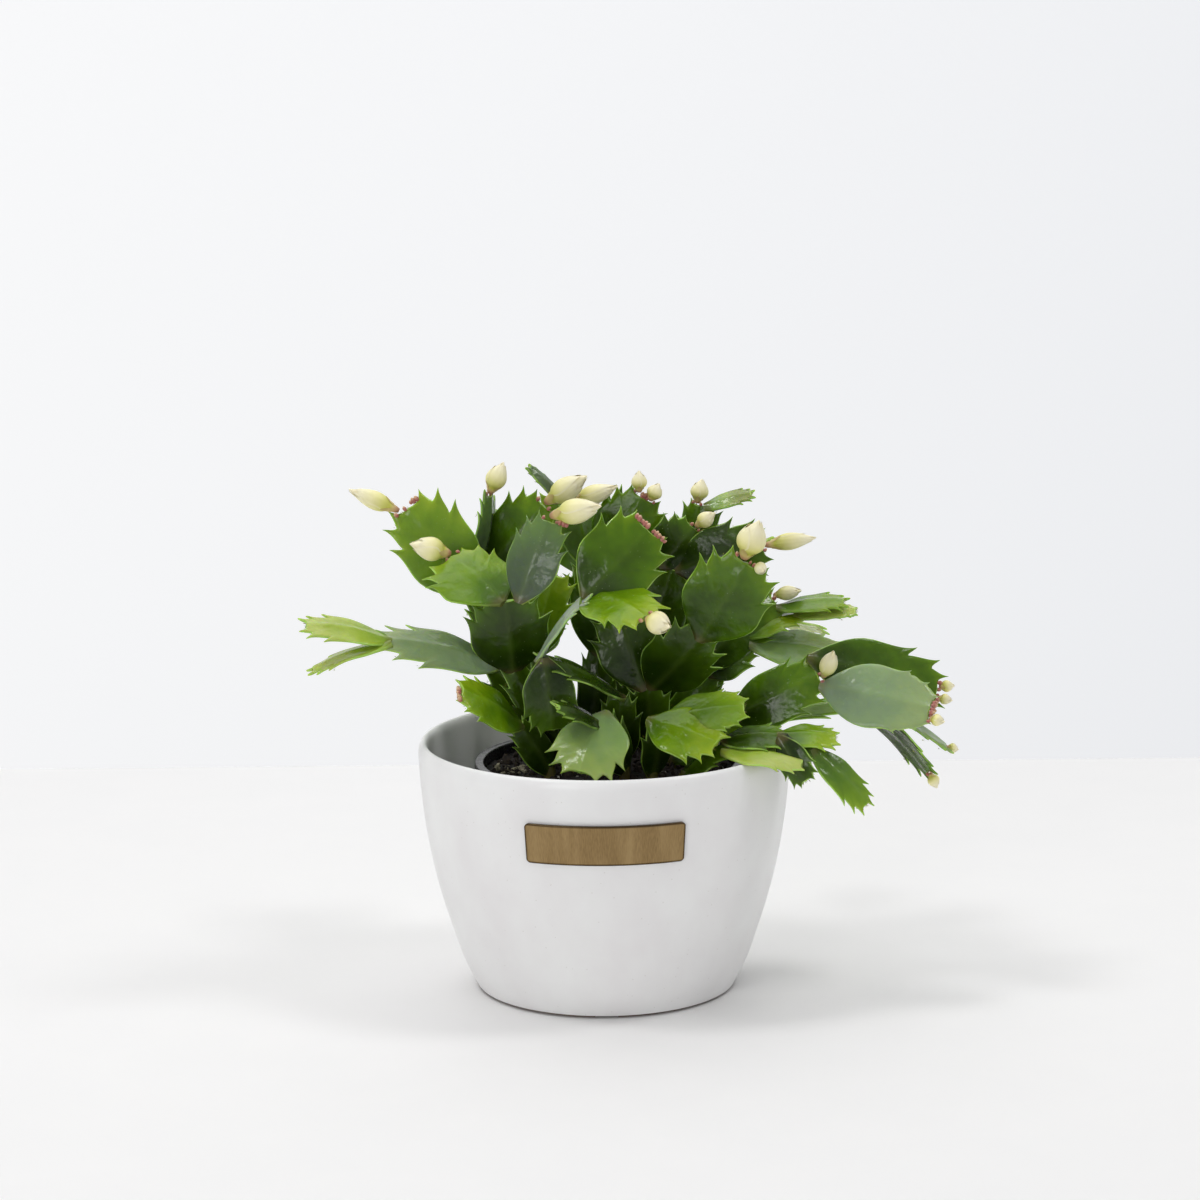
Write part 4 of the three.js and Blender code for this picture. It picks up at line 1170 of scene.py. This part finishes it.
def add_scale(shell, start, turn, length, half, angle):
    """A small pointed scale at the top of the pericarp."""
    b, a = sheet_places(SCALE_GRID)
    share = 0.13 + 0.2 * b
    inner = bud_radius(share) * half + 0.1 + 0.07 * half * b
    add_wrapped(shell, start, turn, share * length, angle + a * 0.55 * (1 - b ** 1.6), (inner + 0.12, inner),
                along=0.12, petal_edge=0, vein=0)


def build_buds(settings):
    material = petal_skin(settings.cream, settings.blush)
    for name, (_, placed) in placed_plant().items():
        buds = [item for item in placed if item["piece"]["kind"] == "bud"]
        for index, item in enumerate(buds, 1):
            piece, along = item["piece"], item["axes"]["along"]
            way, length, width = unit(piece["to"]), np.linalg.norm(piece["to"]), piece["width"]
            lean = math.sqrt(1 - min(1, way.dot(along)) ** 2)
            start = item["start"] + along * (BUD_GAP + BUD_LEAN * width / 2 * lean)
            shell = Shell()
            petals = 6 if width > 5 else 5
            add_bud(shell, start, way, length, width, 7 * draw(index, len(name)), petals)
            made = shell.make(f"{name}_bud_{index}_petals", material, weld=FINE_JOIN, sharp=50)
            dress(made, "bud_cream", f"{name}_bud_{index}")


def build_beads(settings):
    """Clusters of tiny buds at the ends of some segments and beside each grown bud: one main bead and
    smaller ones beside it."""
    material = bead_skin(settings.bead)
    for name, (_, placed) in placed_plant().items():
        shell = Shell()
        for place, item in enumerate(placed):
            carrier, piece = item["axes"], item["piece"]
            if piece["kind"] == "bud":
                add_cluster(shell, item["start"] + carrier["along"] * 0.4, carrier, 0.72 * BEAD_RADIUS,
                            0.28 * piece["width"], place)
            elif piece["kind"] == "beads":
                for step, offset in enumerate(piece["offsets"]):
                    seat = item["base"] + carrier["across"] * offset + carrier["along"] * 0.9
                    add_bead(shell, seat, carrier, BEAD_RADIUS, place + step)
                    add_cluster(shell, seat, carrier, 0.78 * BEAD_RADIUS, 1.3, place + 3 * step)
        if shell.count:
            dress(shell.make(f"{name}_beads", material, weld=FINE_JOIN), "bud_cream")


def add_cluster(shell, seat, carrier, radius, spread, seed):
    """Small beads on both sides of a seat."""
    for place, side in enumerate((-1, 1)):
        beside = (carrier["across"] * side * spread * (0.9 + 0.3 * draw(seed, place))
                  + carrier["out"] * (draw(seed, 4 + place) - 0.4) * spread)
        add_bead(shell, seat + beside, carrier, radius * (0.8 + 0.5 * draw(seed, 7 + place)), seed + place)


def add_bead(shell, seat, carrier, radius, seed):
    """A round bead with three faint lobes, leaning a little from its segment's way."""
    lean = carrier["across"] * (draw(seed, 9) - 0.5) + carrier["out"] * (draw(seed, 10) - 0.5)
    turn = turn_to(unit(carrier["along"] + 1.1 * lean))
    length = 2.3 * radius
    curve = smooth_outline(BEAD_OUTLINE, 9)
    profile = [(0, 0), *((share * length, value * radius * 0.85) for share, value in curve), (length, 0)]
    points, faces = turned(profile, 12)
    along = points[:, 2] / length
    swirl = np.arctan2(points[:, 1], points[:, 0])
    points[:, :2] *= (1 + 0.07 * np.cos(3 * swirl + 4 * along + seed))[:, None]
    points[:, 2] -= radius
    shell.add(points @ turn.T + seat, faces, along=along)


# Stage

def flat_panel(name, corners, material):
    """A flat panel of the stage."""
    mesh = bpy.data.meshes.new(name)
    mesh.from_pydata([[value * MM for value in corner] for corner in corners], [], [[0, 1, 2, 3]])
    mesh.materials.append(material)
    add_object(name, mesh)


def soft_light(name, place, target, size, power):
    """A round area light that shines at a target."""
    light = bpy.data.lights.new(name, "AREA")
    light.shape = "DISK"
    light.size = size
    light.energy = power
    lamp = add_object(name, light)
    lamp.location = place
    lamp.rotation_mode = "QUATERNION"
    lamp.rotation_quaternion = (Vector(target) - Vector(place)).to_track_quat("-Z", "Y")


def build_camera():
    camera = bpy.data.cameras.new("camera")
    camera.lens = CAMERA["lens"]
    camera.sensor_width = 36
    camera.clip_end = 20
    view = add_object("camera", camera)
    view.location = [value * MM for value in CAMERA["place"]]
    pitch, yaw, roll = (math.radians(CAMERA[key]) for key in ("pitch", "yaw", "roll"))
    turn = Matrix.Rotation(-yaw, 3, "Z") @ Matrix.Rotation(math.pi / 2 - pitch, 3, "X")
    view.rotation_euler = (turn @ Matrix.Rotation(roll, 3, "Z")).to_euler()
    bpy.context.scene.camera = view


def build_stage(settings):
    side, near, far = FLOOR["half_width"], FLOOR["near"], FLOOR["far"]
    flat_panel("floor", [(-side, near, 0), (side, near, 0), (side, far, 0), (-side, far, 0)],
               painted_board(settings.floor))
    side, away, low, high = BACKDROP["half_width"], BACKDROP["away"], BACKDROP["low"], BACKDROP["high"]
    flat_panel("backdrop", [(-side, away, low), (side, away, low), (side, away, high), (-side, away, high)],
               backlit_acrylic(settings.wall, settings.glow))
    # The default view transform would grey the white studio
    bpy.context.scene.view_settings.view_transform = "Standard"
    world = bpy.data.worlds.new("studio")
    bpy.context.scene.world = world
    world.use_nodes = True
    feed(world.node_tree.nodes["Background"], {"Color": "#f8f9fb", "Strength": settings.ambient})
    for name, light in LIGHTS.items():
        soft_light(name, light["place"], light["target"], light["size"], getattr(settings, name))
    build_camera()


# Settings, operators and panel

def colour_property(name, description, colour):
    return bpy.props.FloatVectorProperty(name=name, description=description, default=linear(colour)[:3],
                                         size=3, subtype="COLOR", min=0, max=1)


def length_property(name, description, millimetres, longest):
    return bpy.props.FloatProperty(name=name, description=description, default=millimetres * MM, min=0,
                                   max=longest * MM, precision=5, unit="LENGTH")


def count_property(name, description, count, least, most):
    return bpy.props.IntProperty(name=name, description=description, default=count, min=least, max=most)


def light_property(name, description, power):
    return bpy.props.FloatProperty(name=name, description=description, default=power, min=0, max=500,
                                   unit="POWER")


def strength_property(name, description, strength):
    return bpy.props.FloatProperty(name=name, description=description, default=strength, min=0, max=5)


class CactusPotSettings(bpy.types.PropertyGroup):
    sides: count_property("Sides", "Flat sides round each turned pot", 168, 24, 400)
    glaze: colour_property("Glaze", "Colour of the cachepot's glaze", "#efefee")
    brass: colour_property("Brass", "Colour of the plaque where it is brushed bare", "#937b54")
    edge: length_property("Plaque edge", "Radius of the plaque's soft edge", 0.35, 0.6)
    rings: count_property("Soil rings", "Rings of points on top of the potting mix", 34, 8, 80)
    crumbs: count_property("Bark crumbs", "Bark crumbs on the potting mix", 620, 0, 3000)
    grit: count_property("Light grit", "Pale grit on the potting mix", 60, 0, 1000)
    chips: count_property("Pale chips", "Pale pine chips at the left of the potting mix", 26, 0, 200)


class CactusPlantSettings(bpy.types.PropertyGroup):
    ripple: length_property("Ripple", "Waviness of a segment's edges", 0.45, 2)
    bristle: length_property("Bristle", "Length of the bristles in the areoles", 1.1, 3)
    edge: colour_property("Edge", "Colour of a segment's thin edge", "#a8cc62")
    cream: colour_property("Cream", "Colour of the bud petals", "#faf2cc")
    blush: colour_property("Blush", "Colour of the pericarp", "#b78966")
    bead: colour_property("Bead", "Colour of the tiny first buds", "#b57268")


class CactusStageSettings(bpy.types.PropertyGroup):
    floor: colour_property("Floor", "Colour of the floor", "#efeeed")
    wall: colour_property("Wall", "Colour of the backdrop", "#b4b5b7")
    glow: strength_property("Glow", "Strength of the backdrop's own light", 0.635)
    ambient: strength_property("Ambient", "Strength of the light from all round", 0.5)
    overhead: light_property("Overhead", "Power of the wide light above", 8.5)
    key: light_property("Key", "Power of the light from the left", 6.5)
    fill: light_property("Fill", "Power of the light from the right", 6)
    front: light_property("Front", "Power of the low light to the left of the camera", 4.5)


class CACTUS_OT_cachepot(bpy.types.Operator):
    """Build the white glazed cachepot"""
    bl_idname = "cactus.cachepot"
    bl_label = "Cachepot"

    def execute(self, context):
        build_cachepot(context.scene.cactus_pots)
        return {"FINISHED"}


class CACTUS_OT_plaque(bpy.types.Operator):
    """Build the bent brass plaque"""
    bl_idname = "cactus.plaque"
    bl_label = "Plaque"

    def execute(self, context):
        build_plaque(context.scene.cactus_pots)
        return {"FINISHED"}


class CACTUS_OT_nursery_pot(bpy.types.Operator):
    """Build the black nursery pot"""
    bl_idname = "cactus.nursery_pot"
    bl_label = "Nursery pot"

    def execute(self, context):
        build_nursery_pot(context.scene.cactus_pots)
        return {"FINISHED"}


class CACTUS_OT_soil(bpy.types.Operator):
    """Build the potting mix with its bark crumbs and grit"""
    bl_idname = "cactus.soil"
    bl_label = "Potting mix"

    def execute(self, context):
        build_soil(context.scene.cactus_pots)
        return {"FINISHED"}


class CACTUS_OT_stems(bpy.types.Operator):
    """Build the leafy stems"""
    bl_idname = "cactus.stems"
    bl_label = "Stems"

    def execute(self, context):
        build_stems(context.scene.cactus_plant)
        return {"FINISHED"}


class CACTUS_OT_buds(bpy.types.Operator):
    """Build the flower buds"""
    bl_idname = "cactus.buds"
    bl_label = "Buds"

    def execute(self, context):
        build_buds(context.scene.cactus_plant)
        return {"FINISHED"}


class CACTUS_OT_beads(bpy.types.Operator):
    """Build the tiny first buds"""
    bl_idname = "cactus.beads"
    bl_label = "Beads"

    def execute(self, context):
        build_beads(context.scene.cactus_plant)
        return {"FINISHED"}


class CACTUS_OT_stage(bpy.types.Operator):
    """Build the floor, the backdrop, the lights and the camera"""
    bl_idname = "cactus.stage"
    bl_label = "Stage"

    def execute(self, context):
        build_stage(context.scene.cactus_stage)
        return {"FINISHED"}


OPERATORS = (CACTUS_OT_stage, CACTUS_OT_cachepot, CACTUS_OT_plaque, CACTUS_OT_nursery_pot, CACTUS_OT_soil,
             CACTUS_OT_stems, CACTUS_OT_buds, CACTUS_OT_beads)


class CACTUS_PT_panel(bpy.types.Panel):
    """Settings and building steps of the potted cactus"""
    bl_label = "Potted christmas cactus"
    bl_idname = "CACTUS_PT_panel"
    bl_space_type = "VIEW_3D"
    bl_region_type = "UI"
    bl_category = "Cactus"

    def draw(self, context):
        for group in (context.scene.cactus_pots, context.scene.cactus_plant, context.scene.cactus_stage):
            box = self.layout.box()
            for name in group.__annotations__:
                box.prop(group, name)
        for operator in OPERATORS:
            self.layout.operator(operator.bl_idname)


CLASSES = (CactusPotSettings, CactusPlantSettings, CactusStageSettings, *OPERATORS, CACTUS_PT_panel)


def register():
    for item in CLASSES:
        bpy.utils.register_class(item)
    bpy.types.Scene.cactus_pots = bpy.props.PointerProperty(type=CactusPotSettings)
    bpy.types.Scene.cactus_plant = bpy.props.PointerProperty(type=CactusPlantSettings)
    bpy.types.Scene.cactus_stage = bpy.props.PointerProperty(type=CactusStageSettings)


def unregister():
    del bpy.types.Scene.cactus_stage
    del bpy.types.Scene.cactus_plant
    del bpy.types.Scene.cactus_pots
    for item in reversed(CLASSES):
        bpy.utils.unregister_class(item)


def main():
    register()
    bpy.ops.cactus.stage()
    bpy.ops.cactus.cachepot()
    bpy.ops.cactus.plaque()
    bpy.ops.cactus.nursery_pot()
    bpy.ops.cactus.soil()
    bpy.ops.cactus.stems()
    bpy.ops.cactus.buds()
    bpy.ops.cactus.beads()


if __name__ == "__main__":
    main()
